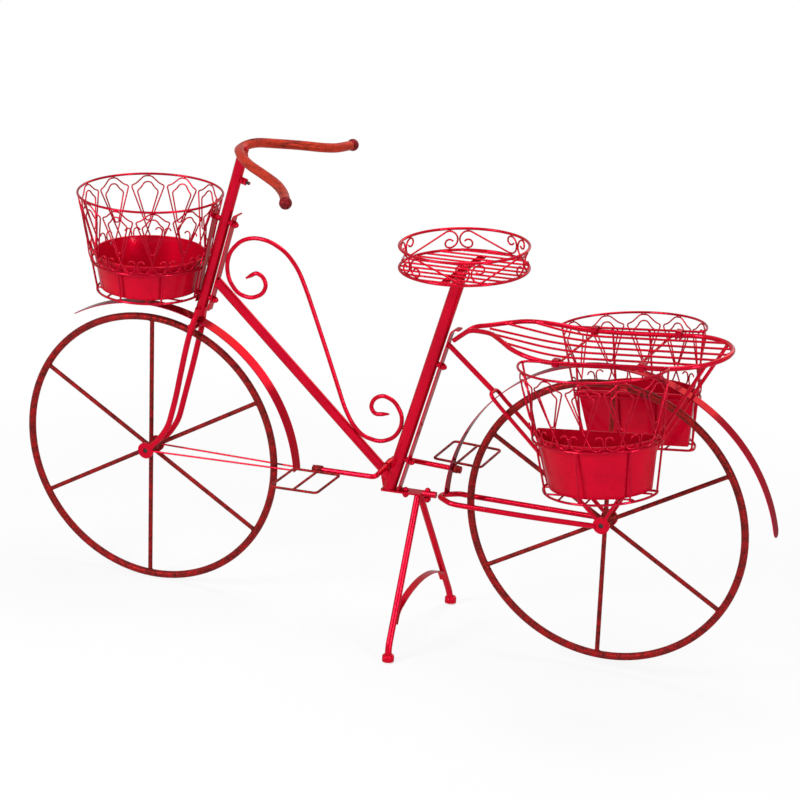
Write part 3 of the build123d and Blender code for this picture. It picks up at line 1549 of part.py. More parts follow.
def all_pieces():
    """Every node's name with its solid or group of solids."""
    pieces = {
        "front_wheel_rim": wheel_rim((0, 0, 0)),
        "front_wheel_hub": wheel_hub((0, 0, 0)),
        "front_wheel_spokes": wheel_spokes((0, 0, 0)),
        "rear_wheel_rim": wheel_rim(rear_hub),
        "rear_wheel_hub": wheel_hub(rear_hub),
        "rear_wheel_spokes": wheel_spokes(rear_hub),
        "wheel_axles": [wheel_axle((0, 0, 0)), wheel_axle(rear_hub)],
        "front_fender": front_fender(),
        "front_fender_stays": front_fender_stays(),
        "rear_fender": rear_fender(),
        "fork_blades": fork_blades(),
        "fork_bridge": fork_bridge(),
        "stem_tube": stem_tube(),
        "handlebar": handlebar(),
        "handlebar_balls": handlebar_balls(),
        "handlebar_screws": handlebar_screws(),
        "head_plate": head_plate(),
        "seat_strip": seat_strip(),
        "strip_bolts": strip_bolts(),
        "strip_spacers": strip_spacers(),
        "strip_nuts": strip_nuts(),
        "down_tube": down_tube(),
        "seat_tube": seat_tube(),
        "gusset": gusset(),
        "frame_scroll": frame_scroll(),
        "base_plate": base_plate(),
        "base_bolts": base_bolts(),
        "stay_bar": stay_bar(),
        "chain_stays": chain_stays(),
        "seat_stays": seat_stays(),
        "rack_rail": rack_rail(),
        "rack_wires": rack_wires(),
        "rack_stays": rack_stays(),
        "stand_legs": stand_legs(),
        "stand_brace": stand_brace(),
        "foot_cups": foot_cups(),
        "foot_pads": foot_pads(),
        "tray_rings": tray_rings(),
        "tray_scrolls": tray_scrolls(),
        "tray_floor": tray_floor(),
        "tray_bolt": tray_bolt(),
        "front_basket_rings": front_basket_rings(),
        "front_basket_motifs": front_basket_motifs(),
        "front_basket_ribs": front_basket_ribs(),
        "front_basket_bracket": front_basket_bracket(),
        "front_pot": front_pot(),
        "basket_clips": basket_clips(),
        "crank_bush": crank_bush(),
        "crank_rod": crank_rod(),
        "crank_nuts": crank_nuts(),
        "pedal_left": pedal(-1),
        "pedal_right": pedal(1),
    }
    for name, side in (("left", -1), ("right", 1)):
        pieces[name + "_basket_rings"] = side_basket_rings(side)
        pieces[name + "_basket_motifs"] = side_basket_motifs(side)
        pieces[name + "_basket_ribs"] = side_basket_ribs(side)
        pieces[name + "_pot"] = side_pot(side)
    return pieces


def as_shape(piece):
    if isinstance(piece, list):
        solids = [solid for item in piece for solid in item.solids()]
    else:
        solids = piece.solids()
    return solids[0] if len(solids) == 1 else Compound(children=solids)


def main():
    os.makedirs("parts", exist_ok=True)
    shapes = {name: as_shape(piece) for name, piece in all_pieces().items()}
    boxes = [shape.bounding_box() for shape in shapes.values()]
    middle_x = (min(box.min.X for box in boxes) + max(box.max.X for box in boxes)) / 2
    middle_y = (min(box.min.Y for box in boxes) + max(box.max.Y for box in boxes)) / 2
    print("shift", -middle_x, -middle_y, -floor_z)
    for name, shape in shapes.items():
        export_step(Pos(-middle_x, -middle_y, -floor_z) * shape, "parts/" + name + ".step")
    print(len(shapes), "pieces")


main()
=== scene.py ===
"""Red metal planter in the shape of an old bicycle: paints, weld beads, a screw thread, floor and light."""

from __future__ import annotations

import json
import logging
import math
from dataclasses import dataclass
from enum import Enum
from typing import Any, Iterable, Sequence, Union

import bmesh
import bpy
from mathutils import Matrix, Vector, noise
from mathutils.bvhtree import BVHTree


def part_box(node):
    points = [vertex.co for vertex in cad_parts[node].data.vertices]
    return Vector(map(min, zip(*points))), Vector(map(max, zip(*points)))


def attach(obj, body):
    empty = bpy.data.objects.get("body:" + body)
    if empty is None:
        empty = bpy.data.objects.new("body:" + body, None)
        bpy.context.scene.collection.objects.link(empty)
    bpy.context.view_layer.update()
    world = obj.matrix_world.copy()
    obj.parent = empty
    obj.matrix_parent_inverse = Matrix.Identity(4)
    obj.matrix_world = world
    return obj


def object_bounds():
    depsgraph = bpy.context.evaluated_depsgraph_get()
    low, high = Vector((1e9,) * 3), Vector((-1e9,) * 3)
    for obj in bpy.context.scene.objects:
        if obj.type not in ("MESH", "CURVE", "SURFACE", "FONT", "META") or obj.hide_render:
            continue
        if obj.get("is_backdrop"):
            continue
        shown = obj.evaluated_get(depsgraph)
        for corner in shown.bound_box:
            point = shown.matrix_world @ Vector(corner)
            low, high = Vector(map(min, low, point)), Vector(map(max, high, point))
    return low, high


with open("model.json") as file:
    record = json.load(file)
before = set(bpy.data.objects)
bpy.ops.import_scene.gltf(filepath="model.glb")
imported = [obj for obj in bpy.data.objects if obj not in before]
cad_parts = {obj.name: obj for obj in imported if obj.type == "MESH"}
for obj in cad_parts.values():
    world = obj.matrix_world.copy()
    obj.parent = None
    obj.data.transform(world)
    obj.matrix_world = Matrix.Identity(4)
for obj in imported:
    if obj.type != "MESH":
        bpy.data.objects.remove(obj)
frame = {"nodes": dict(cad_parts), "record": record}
log = logging.getLogger("planter")

Colour = tuple[float, float, float]
MM = 0.001


class Section(Enum):
    """Parts of the planter that share a finish."""

    FRAME = "frame_paint"
    BASKET = "basket_paint"
    POT = "pot_paint"
    WHEEL = "antique_wheel"
    BAR = "antique_bar"
    PEDAL = "antique_pedal"
    AXLE = "axle_steel"
    FOOT = "foot_plastic"


class Light(Enum):
    """Jobs of the studio's lamps."""

    KEY = "key"
    FILL = "fill"
    TOP = "top"
    BACK = "back"


class Value:
    """A shader socket that takes part in sums; every operator adds one Math node."""

    def __init__(self, graph: Graph, socket: bpy.types.NodeSocket) -> None:
        """Keep the socket and the graph it belongs to.

        Args:
            graph: the node graph that new nodes go into.
            socket: the output socket to wrap.
        """
        self.graph = graph
        self.socket = socket

    def _math(self, operation: str, *terms: Term) -> Value:
        """Add a Math node.

        Args:
            operation: the node's operation.
            terms: its inputs in order, as values or numbers.

        Returns:
            The node's result.
        """
        node = self.graph.node("ShaderNodeMath", {"operation": operation}, dict(enumerate(terms)))
        return Value(self.graph, node.outputs[0])

    def __add__(self, other: Term) -> Value:
        """Sum of two values."""
        return self._math("ADD", self, other)

    def __radd__(self, other: Term) -> Value:
        """Sum with a number on the left."""
        return self._math("ADD", other, self)

    def __sub__(self, other: Term) -> Value:
        """Difference of two values."""
        return self._math("SUBTRACT", self, other)

    def __rsub__(self, other: Term) -> Value:
        """Difference from a number on the left."""
        return self._math("SUBTRACT", other, self)

    def __mul__(self, other: Term) -> Value:
        """Product of two values."""
        return self._math("MULTIPLY", self, other)

    def __rmul__(self, other: Term) -> Value:
        """Product with a number on the left."""
        return self._math("MULTIPLY", other, self)

    def clamped(self) -> Value:
        """The value held between 0 and 1."""
        return self._math("MINIMUM", self._math("MAXIMUM", self, 0.0), 1.0)

    def step(self, low: float, high: float) -> Value:
        """Smooth rise from 0 to 1 between two levels.

        Args:
            low: the level where the rise starts.
            high: the level where it ends.

        Returns:
            The smoothed value.
        """
        settings = {"interpolation_type": "SMOOTHSTEP"}
        inputs = {"Value": self, "From Min": low, "From Max": high}
        return Value(self.graph, self.graph.node("ShaderNodeMapRange", settings, inputs).outputs["Result"])


Term = Union[Value, float]


class Graph:
    """A node tree that is filled from empty."""

    def __init__(self, tree: bpy.types.NodeTree) -> None:
        """Empty the tree.

        Args:
            tree: the tree of a material or of the world.
        """
        self.tree = tree
        tree.nodes.clear()

    def node(self, kind: str, settings: dict[str, Any], inputs: dict[Any, Any]) -> bpy.types.Node:
        """Add one node of any type.

        Args:
            kind: the node's type name.
            settings: attributes that are set before the sockets.
            inputs: socket name or number, with a value, a socket or a plain constant.

        Returns:
            The new node.
        """
        made = self.tree.nodes.new(kind)
        for name, setting in settings.items():
            setattr(made, name, setting)
        for name, given in inputs.items():
            source = given.socket if isinstance(given, Value) else given
            if isinstance(source, bpy.types.NodeSocket):
                self.tree.links.new(source, made.inputs[name])
            else:
                made.inputs[name].default_value = source
        return made

    def place(self) -> bpy.types.NodeSocket:
        """The point on the object, in metres."""
        return self.node("ShaderNodeTexCoord", {}, {}).outputs["Object"]

    def grain(self, per_metre: float, detail: float, roughness: float = 0.5,
              stretch: Sequence[float] = (1.0, 1.0, 1.0)) -> Value:
        """Cloudy noise fixed to the object.

        Args:
            per_metre: how many patches lie on a metre.
            detail: octaves of finer noise.
            roughness: how strong the finer octaves are.
            stretch: factors on the three axes.

        Returns:
            A value round 0.5.
        """
        scaled = self.node("ShaderNodeMapping", {}, {"Vector": self.place(), "Scale": tuple(stretch)})
        inputs = {"Vector": scaled.outputs["Vector"], "Scale": per_metre, "Detail": detail,
                  "Roughness": roughness}
        return Value(self, self.node("ShaderNodeTexNoise", {}, inputs).outputs["Fac"])

    def mixed(self, share: Term, low: Any, high: Any) -> bpy.types.NodeSocket:
        """Blend of two colours.

        Args:
            share: how much of the second colour.
            low: the first colour, as a tuple or a socket.
            high: the second colour, as a tuple or a socket.

        Returns:
            The blended colour's socket.
        """
        ends = [(*end, 1.0) if isinstance(end, tuple) else end for end in (low, high)]
        inputs = {0: share, 6: ends[0], 7: ends[1]}
        return self.node("ShaderNodeMix", {"data_type": "RGBA"}, inputs).outputs[2]

    def bumped(self, height: Value, depth: float, strength: float) -> bpy.types.NodeSocket:
        """Normal of a surface with fine relief.

        Args:
            height: the relief, from 0 to 1.
            depth: its depth in metres.
            strength: how strongly it shows.

        Returns:
            The normal's socket.
        """
        inputs = {"Height": height, "Distance": depth, "Strength": strength}
        return self.node("ShaderNodeBump", {}, inputs).outputs["Normal"]

    def surface(self, constants: dict[str, Any], varying: dict[str, Any]) -> None:
        """Finish the tree with a Principled shader.

        Args:
            constants: values that are the same all over the surface.
            varying: values and sockets that change over it.
        """
        shader = self.node("ShaderNodeBsdfPrincipled", {}, {**constants, **varying})
        self.node("ShaderNodeOutputMaterial", {}, {"Surface": shader.outputs["BSDF"]})


def new_material(name: str) -> tuple[bpy.types.Material, Graph]:
    """An empty material and its graph.

    Args:
        name: the finish's name.

    Returns:
        The material, and the graph to fill.
    """
    material = bpy.data.materials.new(name)
    material.use_nodes = True
    return material, Graph(material.node_tree)


@dataclass(frozen=True)
class GlossPaint:
    """Candy enamel, sprayed over a bright base and baked, with a faint orange peel and dust nibs."""

    name: str
    colour: Colour
    deep: Colour
    sheen_low: float = 0.09
    sheen_high: float = 0.17
    flake: float = 0.50
    edge: Colour = (0.12, 0.0, 0.012)
    specular: float = 0.08
    lacquer: float = 0.10
    peel_per_metre: float = 260.0
    peel_depth: float = 0.12 * MM
    peel_strength: float = 0.035
    peel_share: float = 0.9
    nib_per_metre: float = 900.0
    nib_shade: float = 0.15
    drift_per_metre: float = 9.0
    drift_share: float = 0.55
    thin_per_metre: float = 70.0
    thin_roughness: float = 0.62
    lacquer_roughness: float = 0.05

    def build(self) -> bpy.types.Material:
        """The paint as a material."""
        material, graph = new_material(self.name)
        drift = graph.grain(self.drift_per_metre, 3.0)
        thin = graph.grain(self.thin_per_metre, 4.0, self.thin_roughness)
        peel = graph.grain(self.peel_per_metre, 2.0)
        nibs = graph.grain(self.nib_per_metre, 1.0).step(0.70, 0.80)
        share = (drift.step(0.35, 0.7) * self.drift_share
                 + thin.step(0.45, 0.75) * (1 - self.drift_share)).clamped()
        base = graph.mixed(share, self.colour, self.deep)
        base = graph.mixed(nibs * self.nib_shade, base, self.deep)
        rough = thin.step(0.3, 0.75) * (self.sheen_high - self.sheen_low) + self.sheen_low
        relief = peel * self.peel_share + nibs * (1 - self.peel_share)
        constants = {"Metallic": self.flake, "Specular IOR Level": self.specular,
                     "Specular Tint": (*self.edge, 1.0), "Coat Weight": self.lacquer,
                     "Coat Roughness": self.lacquer_roughness}
        graph.surface(constants, {"Base Color": base, "Roughness": rough,
                                  "Normal": graph.bumped(relief, self.peel_depth, self.peel_strength)})
        return material


@dataclass(frozen=True)
class AntiquePaint:
    """Dark brown brushed over a red coat, rubbed through in streaks and patches."""

    name: str
    red: Colour
    brown: Colour
    umber: Colour
    cover: float
    streak: Sequence[float] = (1.0, 1.0, 1.0)
    flake: float = 0.30
    edge: Colour = (0.25, 0.06, 0.05)
    specular: float = 0.12
    patch_per_metre: float = 55.0
    patch_share: float = 0.62
    brush_per_metre: float = 260.0
    speck_per_metre: float = 620.0
    speck_shade: float = 0.5
    fade: tuple[float, float] = (-0.13, 0.12)
    thickest: float = 0.92
    rough_red: float = 0.34
    rough_gain: float = 0.22
    relief_share: float = 0.6
    relief_depth: float = 0.2 * MM
    relief_strength: float = 0.3

    def build(self) -> bpy.types.Material:
        """The two coats as a material."""
        material, graph = new_material(self.name)
        patches = graph.grain(self.patch_per_metre, 5.0, 0.68, self.streak)
        brushed = graph.grain(self.brush_per_metre, 3.0, 0.6, self.streak)
        specks = graph.grain(self.speck_per_metre, 2.0, 0.7).step(0.60, 0.72)
        low, high = (1.0 - self.cover + end for end in self.fade)
        cover = (patches * self.patch_share + brushed * (1 - self.patch_share)).step(low, high)
        dark = graph.mixed(brushed.step(0.4, 0.7), self.brown, self.umber)
        base = graph.mixed(cover * self.thickest, self.red, dark)
        base = graph.mixed(specks * self.speck_shade, base, self.umber)
        rough = cover * self.rough_gain + self.rough_red
        relief = cover * self.relief_share + brushed * (1 - self.relief_share)
        constants = {"Metallic": self.flake, "Specular IOR Level": self.specular,
                     "Specular Tint": (*self.edge, 1.0)}
        graph.surface(constants, {"Base Color": base, "Roughness": rough,
                                  "Normal": graph.bumped(relief, self.relief_depth, self.relief_strength)})
        return material


@dataclass(frozen=True)
class BareSteel:
    """Oiled, darkened steel of screw ends and axle pins."""

    name: str
    colour: Colour
    stain_per_metre: float = 240.0
    stain_shade: float = 0.45
    rough_clean: float = 0.28
    rough_gain: float = 0.35
    metal_least: float = 0.5
    metal_gain: float = 0.4
    relief_depth: float = 0.1 * MM

    def build(self) -> bpy.types.Material:
        """The steel as a material."""
        material, graph = new_material(self.name)
        stain = graph.grain(self.stain_per_metre, 4.0, 0.65)
        dark = tuple(self.stain_shade * part for part in self.colour)
        base = graph.mixed(stain.step(0.35, 0.7), self.colour, dark)
        rough = stain * self.rough_gain + self.rough_clean
        metal = stain.step(0.8, 0.3) * self.metal_gain + self.metal_least
        graph.surface({}, {"Base Color": base, "Metallic": metal, "Roughness": rough,
                           "Normal": graph.bumped(stain, self.relief_depth, 0.3)})
        return material


@dataclass(frozen=True)
class MattePlastic:
    """Moulded plastic with a fine spark texture."""

    name: str
    colour: Colour
    soil_per_metre: float = 90.0
    soil_shade: float = 0.78
    soil_most: float = 0.7
    spark_per_metre: float = 1500.0
    rough_least: float = 0.5
    rough_gain: float = 0.2
    relief_depth: float = 0.1 * MM

    def build(self) -> bpy.types.Material:
        """The plastic as a material."""
        material, graph = new_material(self.name)
        soil = graph.grain(self.soil_per_metre, 4.0, 0.6)
        spark = graph.grain(self.spark_per_metre, 1.0)
        grey = tuple(self.soil_shade * part for part in self.colour)
        base = graph.mixed(soil.step(0.5, 0.8) * self.soil_most, self.colour, grey)
        graph.surface({}, {"Base Color": base, "Roughness": spark * self.rough_gain + self.rough_least,
                           "Normal": graph.bumped(spark, self.relief_depth, 0.3)})
        return material


class Finishes:
    """Every finish of the planter, and the nodes that wear it."""

    red: Colour = (0.58, 0.002, 0.021)
    red_deep: Colour = (0.42, 0.001, 0.017)
    wire_red: Colour = (0.50, 0.002, 0.022)
    wire_deep: Colour = (0.34, 0.001, 0.017)
    inner: Colour = (0.58, 0.002, 0.021)
    sheet_red: Colour = (0.44, 0.003, 0.036)
    sheet_deep: Colour = (0.34, 0.002, 0.028)
    rubbed_red: Colour = (0.36, 0.012, 0.014)
    brown: Colour = (0.130, 0.016, 0.015)
    umber: Colour = (0.045, 0.011, 0.010)
    bar_red: Colour = (0.46, 0.038, 0.018)
    ball_red: Colour = (0.26, 0.008, 0.018)
    wheel_cover: float = 0.52
    bar_cover: float = 0.44
    ball_cover: float = 0.50
    bar_streak: Sequence[float] = (0.30, 0.30, 1.2)

    def __init__(self) -> None:
        """Build the materials once."""
        self.section = {
            Section.FRAME: GlossPaint("frame_enamel", self.red, self.red_deep).build(),
            Section.BASKET: GlossPaint("basket_enamel", self.wire_red, self.wire_deep).build(),
            Section.POT: GlossPaint("pot_enamel", self.inner, self.red_deep, 0.30, 0.42, 0.35,
                                    peel_per_metre=300.0).build(),
            Section.WHEEL: self.antique("wheel_antique", self.rubbed_red, self.wheel_cover),
            Section.BAR: self.antique("bar_antique", self.bar_red, self.bar_cover, self.bar_streak),
            Section.PEDAL: self.antique("pedal_antique", self.rubbed_red, self.wheel_cover),
            Section.AXLE: BareSteel("dark_steel", (0.055, 0.045, 0.042)).build(),
            Section.FOOT: MattePlastic("foot_plastic_white", (0.80, 0.80, 0.78)).build(),
        }
        fender = GlossPaint("fender_enamel", self.sheet_red, self.sheet_deep, flake=0.72, lacquer=0.0).build()
        self.own = {
            "handlebar_balls": self.antique("ball_antique", self.ball_red, self.ball_cover),
            "front_fender": fender,
            "rear_fender": fender,
        }

    def antique(self, name: str, red: Colour, cover: float,
                streak: Sequence[float] = (1.0, 1.0, 1.0)) -> bpy.types.Material:
        """Brown brushed over one of the reds.

        Args:
            name: the finish's name.
            red: the coat underneath.
            cover: how much of it the brown hides.
            streak: factors on the three axes that draw the brush marks out.

        Returns:
            The material.
        """
        return AntiquePaint(name, red, self.brown, self.umber, cover, streak).build()

    def of_node(self, name: str) -> bpy.types.Material:
        """The finish that a node of the frame wears.

        Args:
            name: the node's name.

        Returns:
            Its material.
        """
        if name in self.own:
            return self.own[name]
        slots = {part["node"]: part["material_slot"] for part in frame["record"]["subparts"]}
        return self.section[Section(slots[name])]

    def dress(self) -> None:
        """Give every node of the frame its finish."""
        for name, node in frame["nodes"].items():
            wear(node, self.of_node(name))
        log.info("dressed %d nodes", len(frame["nodes"]))


def wear(piece: bpy.types.Object, material: bpy.types.Material) -> None:
    """Put one material on a piece, in place of any other.

    Args:
        piece: the object to dress.
        material: what it is made of.
    """
    piece.data.materials.clear()
    piece.data.materials.append(material)


def to_piece(name: str, body: str, shape: bmesh.types.BMesh,
             material: bpy.types.Material) -> bpy.types.Object:
    """Turn a shape into a piece that rides on a body.

    Args:
        name: the piece's name.
        body: the body it moves with.
        shape: its mesh, which is used up.
        material: what it is made of.

    Returns:
        The new object.
    """
    mesh = bpy.data.meshes.new(name)
    shape.to_mesh(mesh)
    shape.free()
    mesh.shade_smooth()
    piece = bpy.data.objects.new(name, mesh)
    bpy.context.scene.collection.objects.link(piece)
    wear(piece, material)
    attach(piece, body)
    log.info("%s: %d faces on %s", name, len(mesh.polygons), body)
    return piece


@dataclass(frozen=True)
class Seam:
    """A weld between two nodes: beads of one size, a step apart, wherever the two come together."""

    node: str
    onto: str
    bead: float
    step: float
    reach: float = 0.45 * MM

    def contacts(self) -> list[tuple[Vector, Vector]]:
        """Places where the first node meets the second.

        Returns:
            For each place its point, and the direction of the second node's surface there.
        """
        low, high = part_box(self.onto)
        margin = Vector((self.reach, self.reach, self.reach))
        low, high = low - margin, high + margin
        tree = BVHTree.FromObject(frame["nodes"][self.onto], bpy.context.evaluated_depsgraph_get())
        found: list[tuple[Vector, Vector]] = []
        for vertex in frame["nodes"][self.node].data.vertices:
            point = vertex.co
            if not all(low[i] <= point[i] <= high[i] for i in range(3)):
                continue
            near, normal, _, _ = tree.find_nearest(point, self.reach)
            if near is None:
                continue
            middle = (point + near) / 2
            if all((middle - other).length > self.step for other, _ in found):
                found.append((middle, normal))
        return found


class WeldBeads:
    """Beads of weld metal, painted over, at the joints of one body."""

    squash: float = 0.72
    ripple: float = 0.16
    ripple_per_metre: float = 700.0
    large: float = 3 * MM

    def __init__(self, name: str, body: str, slot: Section, seams: Sequence[Seam]) -> None:
        """Keep what the beads join.

        Args:
            name: the piece's name.
            body: the body that the beads ride on.
            slot: the slot that their paint belongs to; not used.
            seams: the pairs of nodes that are welded.
        """
        self.name = name
        self.body = body
        self.slot = slot
        self.seams = seams

    def bead(self, shape: bmesh.types.BMesh, place: Vector, normal: Vector, size: float) -> None:
        """Add one bead, flattened on its surface and rippled.

        Args:
            shape: the mesh to add to.
            place: the bead's middle.
            normal: the direction it stands in.
            size: its radius.
        """
        turn = normal.to_track_quat("Z", "Y").to_matrix().to_4x4()
        steps = 2 if size > self.large else 1
        made = bmesh.ops.create_icosphere(shape, subdivisions=steps, radius=size)["verts"]
        flat = Matrix.Translation(place) @ turn @ Matrix.Diagonal((1.0, 1.0, self.squash, 1.0))
        for vertex in made:
            lump = noise.noise((place + vertex.co) * self.ripple_per_metre)
            vertex.co = flat @ (vertex.co * (1 + self.ripple * lump))

    def build(self, material: bpy.types.Material) -> None:
        """Make the beads of all seams as one piece.

        Args:
            material: the paint that covers them.
        """
        shape = bmesh.new()
        count = 0
        for seam in self.seams:
            for place, normal in seam.contacts():
                self.bead(shape, place, normal, seam.bead)
                count += 1
        log.info("%s: %d beads", self.name, count)
        if count:
            to_piece(self.name, self.body, shape, material)
        else:
            shape.free()


def frame_seams() -> list[Seam]:
    """Welds of the tubes, plates and rods of the frame."""
    tube = {"bead": 2.1 * MM, "step": 2.6 * MM}
    rod = {"bead": 1.7 * MM, "step": 2.4 * MM}
    return [
        Seam("down_tube", "head_plate", **tube),
        Seam("down_tube", "seat_tube", **tube),
        Seam("head_plate", "stem_tube", **rod),
        Seam("gusset", "seat_tube", **rod),
        Seam("frame_scroll", "down_tube", reach=0.8 * MM, **rod),
        Seam("frame_scroll", "seat_tube", reach=0.95 * MM, **rod),
        Seam("fork_blades", "stem_tube", **tube),
        Seam("fork_bridge", "fork_blades", **rod),
        Seam("front_fender_stays", "front_fender", **rod),
        Seam("front_fender_stays", "fork_blades", **rod),
        Seam("chain_stays", "stay_bar", **rod),
        Seam("seat_stays", "seat_strip", **rod),
        Seam("rack_rail", "seat_strip", **rod),
        Seam("rack_stays", "rack_rail", **rod),
        Seam("stand_legs", "base_plate", **tube),
        Seam("stand_brace", "stand_legs", **rod),
        Seam("foot_cups", "stand_legs", bead=1.4 * MM, step=2.6 * MM),
        Seam("crank_bush", "seat_tube", bead=1.5 * MM, step=2.2 * MM),
    ]


def wire_seams(prefix: str) -> list[Seam]:
    """Spot welds of one basket's wires.

    Args:
        prefix: the basket's name before its nodes' endings.

    Returns:
        The welds of its ribs, floor and motifs to its rings.
    """
    return [Seam(prefix + "_ribs", prefix + "_rings", 2.2 * MM, 5.0 * MM),
            Seam(prefix + "_motifs", prefix + "_rings", 1.7 * MM, 5.0 * MM, 0.5 * MM)]


def rack_and_tray_seams() -> list[Seam]:
    """Spot welds of the rack's and the seat tray's wires."""
    return [Seam("rack_wires", "rack_rail", 2.5 * MM, 5.0 * MM),
            Seam("tray_floor", "tray_rings", 2.2 * MM, 5.0 * MM),
            Seam("tray_scrolls", "tray_rings", 1.8 * MM, 5.0 * MM, 0.5 * MM)]


def wheel_seams(prefix: str) -> list[Seam]:
    """Welds of one wheel's spokes.

    Args:
        prefix: the wheel's name before its nodes' endings.

    Returns:
        The welds at the rim and at the hub.
    """
    return [Seam(prefix + "_spokes", prefix + "_rim", 1.9 * MM, 2.4 * MM),
            Seam(prefix + "_spokes", prefix + "_hub", 1.8 * MM, 2.4 * MM)]


@dataclass(frozen=True)
class ClampThread:
    """Thread on the bare end of the clamp screw behind the head tube."""

    foot: Vector = Vector((-0.413172, -0.013942, 0.5924))
    top: Vector = Vector((-0.323672, -0.013942, 0.9354))
    drop: float = 50 * MM
    start: float = 22.8 * MM
    length: float = 7.2 * MM
    core: float = 3.02 * MM
    depth: float = 0.42 * MM
    pitch: float = 1.0 * MM
    segments: int = 28
    rings_per_turn: int = 8

    def axis(self) -> tuple[Vector, Vector]:
        """Where the screw leaves the tube's middle, and its direction.

        Returns:
            The point and the unit direction.
        """
        tube = (self.top - self.foot).normalized()
        level = self.top.z - self.drop
        point = self.foot + tube * ((level - self.foot.z) / tube.z)
        return point, Vector((tube.z, 0.0, -tube.x))

    def build(self, material: bpy.types.Material) -> None:
        """Make the threaded sleeve.

        Args:
            material: the screw's steel.
        """
        point, out = self.axis()
        turn = out.to_track_quat("Z", "Y").to_matrix().to_4x4()
        place = Matrix.Translation(point + out * self.start) @ turn
        shape = bmesh.new()
        count = round(self.length / self.pitch * self.rings_per_turn)
        rows = []
        for ring in range(count + 1):
            along = self.length * ring / count
            row = []
            for step in range(self.segments):
                angle = math.tau * step / self.segments
                phase = (along / self.pitch - step / self.segments) % 1.0
                fade = min(1.0, ring / self.rings_per_turn, (count - ring) / self.rings_per_turn)
                radius = self.core + self.depth * fade * (1 - abs(2 * phase - 1))
                corner = Vector((radius * math.cos(angle), radius * math.sin(angle), along))
                row.append(shape.verts.new(place @ corner))
            rows.append(row)
        for low, high in zip(rows, rows[1:]):
            for i in range(self.segments):
                k = (i + 1) % self.segments
                shape.faces.new((low[i], low[k], high[k], high[i]))
        shape.faces.new(rows[-1])
        shape.faces.new(list(reversed(rows[0])))
        to_piece("clamp_screw_thread", "frame", shape, material)


@dataclass(frozen=True)
class SoftBox:
    """A soft lamp that faces the planter."""

    job: Light
    place: tuple[float, float, float]
    size: tuple[float, float]
    watts: float

    def hang(self, aim: Vector) -> None:
        """Put the lamp in the scene.

        Args:
            aim: the point it faces.
        """
        light = bpy.data.lights.new(self.job.value, "AREA")
        light.shape = "RECTANGLE"
        light.size, light.size_y = self.size
        light.energy = self.watts
        lamp = bpy.data.objects.new(self.job.value, light)
        lamp.location = self.place
        lamp.rotation_euler = (aim - Vector(self.place)).to_track_quat("-Z", "Y").to_euler()
        lamp.visible_camera = False
        bpy.context.scene.collection.objects.link(lamp)
        log.info("lamp %s", self.job.value)


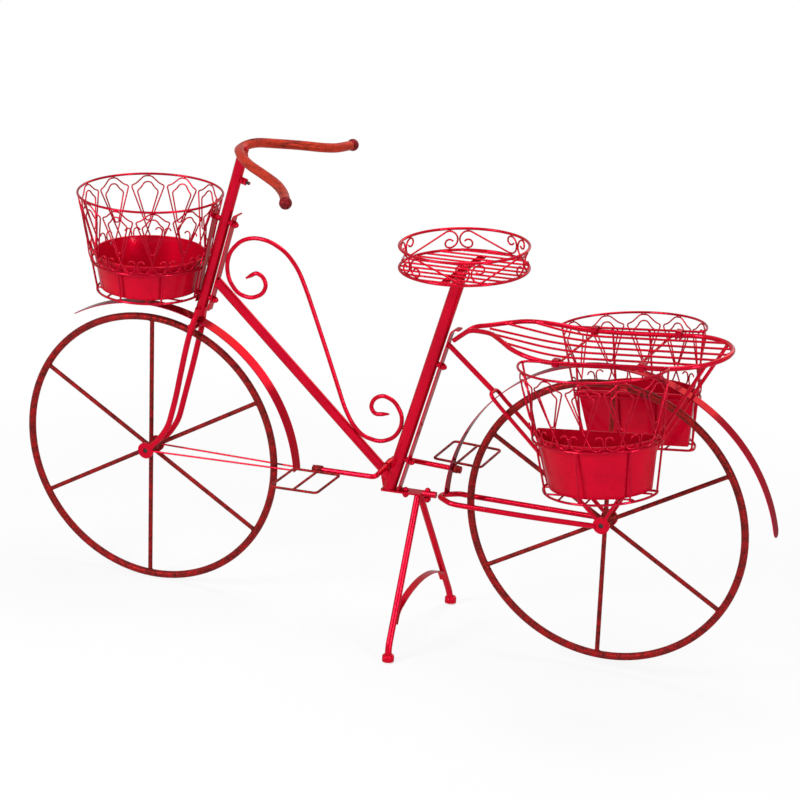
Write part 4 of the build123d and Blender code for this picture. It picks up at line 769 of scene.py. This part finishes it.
@dataclass
class Studio:
    """Floor, white surroundings, soft lamps and the camera at the photograph's place."""

    camera_place: Vector = Vector((2.056628, -4.909242, 2.3726))
    yaw: float = math.radians(22.499)
    pitch: float = math.radians(19.604)
    roll: float = math.radians(2.202)
    lens: float = 128.68
    sensor: float = 36.0
    floor_size: float = 30.0
    floor_colour: Colour = (0.86, 0.86, 0.86)
    shadow_share: float = 0.16
    shadow_start: float = 0.9
    shadow_end: float = 1.7
    ambient: float = 0.14
    boxes: tuple[SoftBox, ...] = (
        SoftBox(Light.KEY, (-2.2, -3.4, 2.6), (1.3, 2.2), 160.0),
        SoftBox(Light.FILL, (3.9, -2.2, 1.6), (1.0, 2.2), 100.0),
        SoftBox(Light.TOP, (0.2, 0.4, 3.6), (1.4, 1.4), 55.0),
        SoftBox(Light.BACK, (0.5, 3.6, 2.2), (2.2, 2.2), 35.0),
    )

    def seen(self, graph: Graph) -> Value:
        """1 for what the camera, a reflection or glass sees, otherwise 0.

        Args:
            graph: the graph to add to.

        Returns:
            The value.
        """
        path = graph.node("ShaderNodeLightPath", {}, {}).outputs
        camera, glossy, through = (Value(graph, path[f"Is {kind} Ray"])
                                   for kind in ("Camera", "Glossy", "Transmission"))
        return (camera + glossy + through).clamped()

    def floor(self) -> None:
        """A plain pale floor that keeps a faint shadow near the planter."""
        half = self.floor_size / 2
        mesh = bpy.data.meshes.new("floor")
        corners = [(-half, -half, 0), (half, -half, 0), (half, half, 0), (-half, half, 0)]
        mesh.from_pydata(corners, [], [(0, 1, 2, 3)])
        floor = bpy.data.objects.new("floor", mesh)
        bpy.context.scene.collection.objects.link(floor)
        material, graph = new_material("floor_white")
        position = graph.node("ShaderNodeNewGeometry", {}, {}).outputs["Position"]
        length = graph.node("ShaderNodeVectorMath", {"operation": "LENGTH"}, {0: position})
        far = Value(graph, length.outputs["Value"]).step(self.shadow_start, self.shadow_end)
        share = self.seen(graph) * (1 - (1 - far) * self.shadow_share)
        plain = graph.node("ShaderNodeBsdfDiffuse", {}, {"Color": (*self.floor_colour, 1.0)})
        white = graph.node("ShaderNodeEmission", {}, {"Color": (1.0, 1.0, 1.0, 1.0), "Strength": 1.0})
        both = graph.node("ShaderNodeMixShader", {}, {0: share, 1: plain.outputs[0], 2: white.outputs[0]})
        graph.node("ShaderNodeOutputMaterial", {}, {"Surface": both.outputs[0]})
        wear(floor, material)
        floor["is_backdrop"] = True
        log.info("floor")

    def surroundings(self) -> None:
        """White all round for the eye, and a softer level as light."""
        world = bpy.data.worlds.new("surroundings")
        world.use_nodes = True
        bpy.context.scene.world = world
        graph = Graph(world.node_tree)
        strength = self.seen(graph) * (1 - self.ambient) + self.ambient
        sky = graph.node("ShaderNodeBackground", {}, {"Color": (1.0, 1.0, 1.0, 1.0), "Strength": strength})
        graph.node("ShaderNodeOutputWorld", {}, {"Surface": sky.outputs[0]})
        log.info("surroundings")

    def lamps(self) -> None:
        """Hang the soft boxes round the planter."""
        low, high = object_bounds()
        middle = (Vector(low) + Vector(high)) / 2
        for box in self.boxes:
            box.hang(middle)

    def camera(self) -> None:
        """The camera where the photograph was taken from."""
        look = Vector((-math.sin(self.yaw) * math.cos(self.pitch), math.cos(self.yaw) * math.cos(self.pitch),
                       -math.sin(self.pitch)))
        level = Vector((math.cos(self.yaw), math.sin(self.yaw), 0.0))
        upright = level.cross(look)
        right = level * math.cos(self.roll) + upright * math.sin(self.roll)
        up = upright * math.cos(self.roll) - level * math.sin(self.roll)
        data = bpy.data.cameras.new("photograph")
        data.lens = self.lens
        data.sensor_width = self.sensor
        camera = bpy.data.objects.new("photograph", data)
        turn = Matrix((right, up, -look)).transposed().to_4x4()
        camera.matrix_world = Matrix.Translation(self.camera_place) @ turn
        bpy.context.scene.collection.objects.link(camera)
        bpy.context.scene.camera = camera
        log.info("camera")

    def build(self) -> None:
        """Set up the whole studio."""
        bpy.context.scene.view_settings.view_transform = "Standard"
        self.camera()
        self.surroundings()
        self.floor()
        self.lamps()


def main() -> None:
    """Dress the frame, add the small pieces and set up the studio."""
    logging.basicConfig(level=logging.INFO, format="%(name)s: %(message)s")
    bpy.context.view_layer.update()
    finishes = Finishes()
    finishes.dress()
    frame_paint = finishes.section[Section.FRAME]
    basket_paint = finishes.section[Section.BASKET]
    wheel_paint = finishes.section[Section.WHEEL]
    WeldBeads("frame_welds", "frame", Section.FRAME, frame_seams()).build(frame_paint)
    WeldBeads("rack_and_tray_welds", "frame", Section.FRAME, rack_and_tray_seams()).build(frame_paint)
    for side in ("front_basket", "left_basket", "right_basket"):
        WeldBeads(side + "_welds", "frame", Section.BASKET, wire_seams(side)).build(basket_paint)
    for wheel in ("front_wheel", "rear_wheel"):
        WeldBeads(wheel + "_welds", wheel, Section.WHEEL, wheel_seams(wheel)).build(wheel_paint)
    ClampThread().build(finishes.section[Section.AXLE])
    Studio().build()


if __name__ == "__main__":
    main()
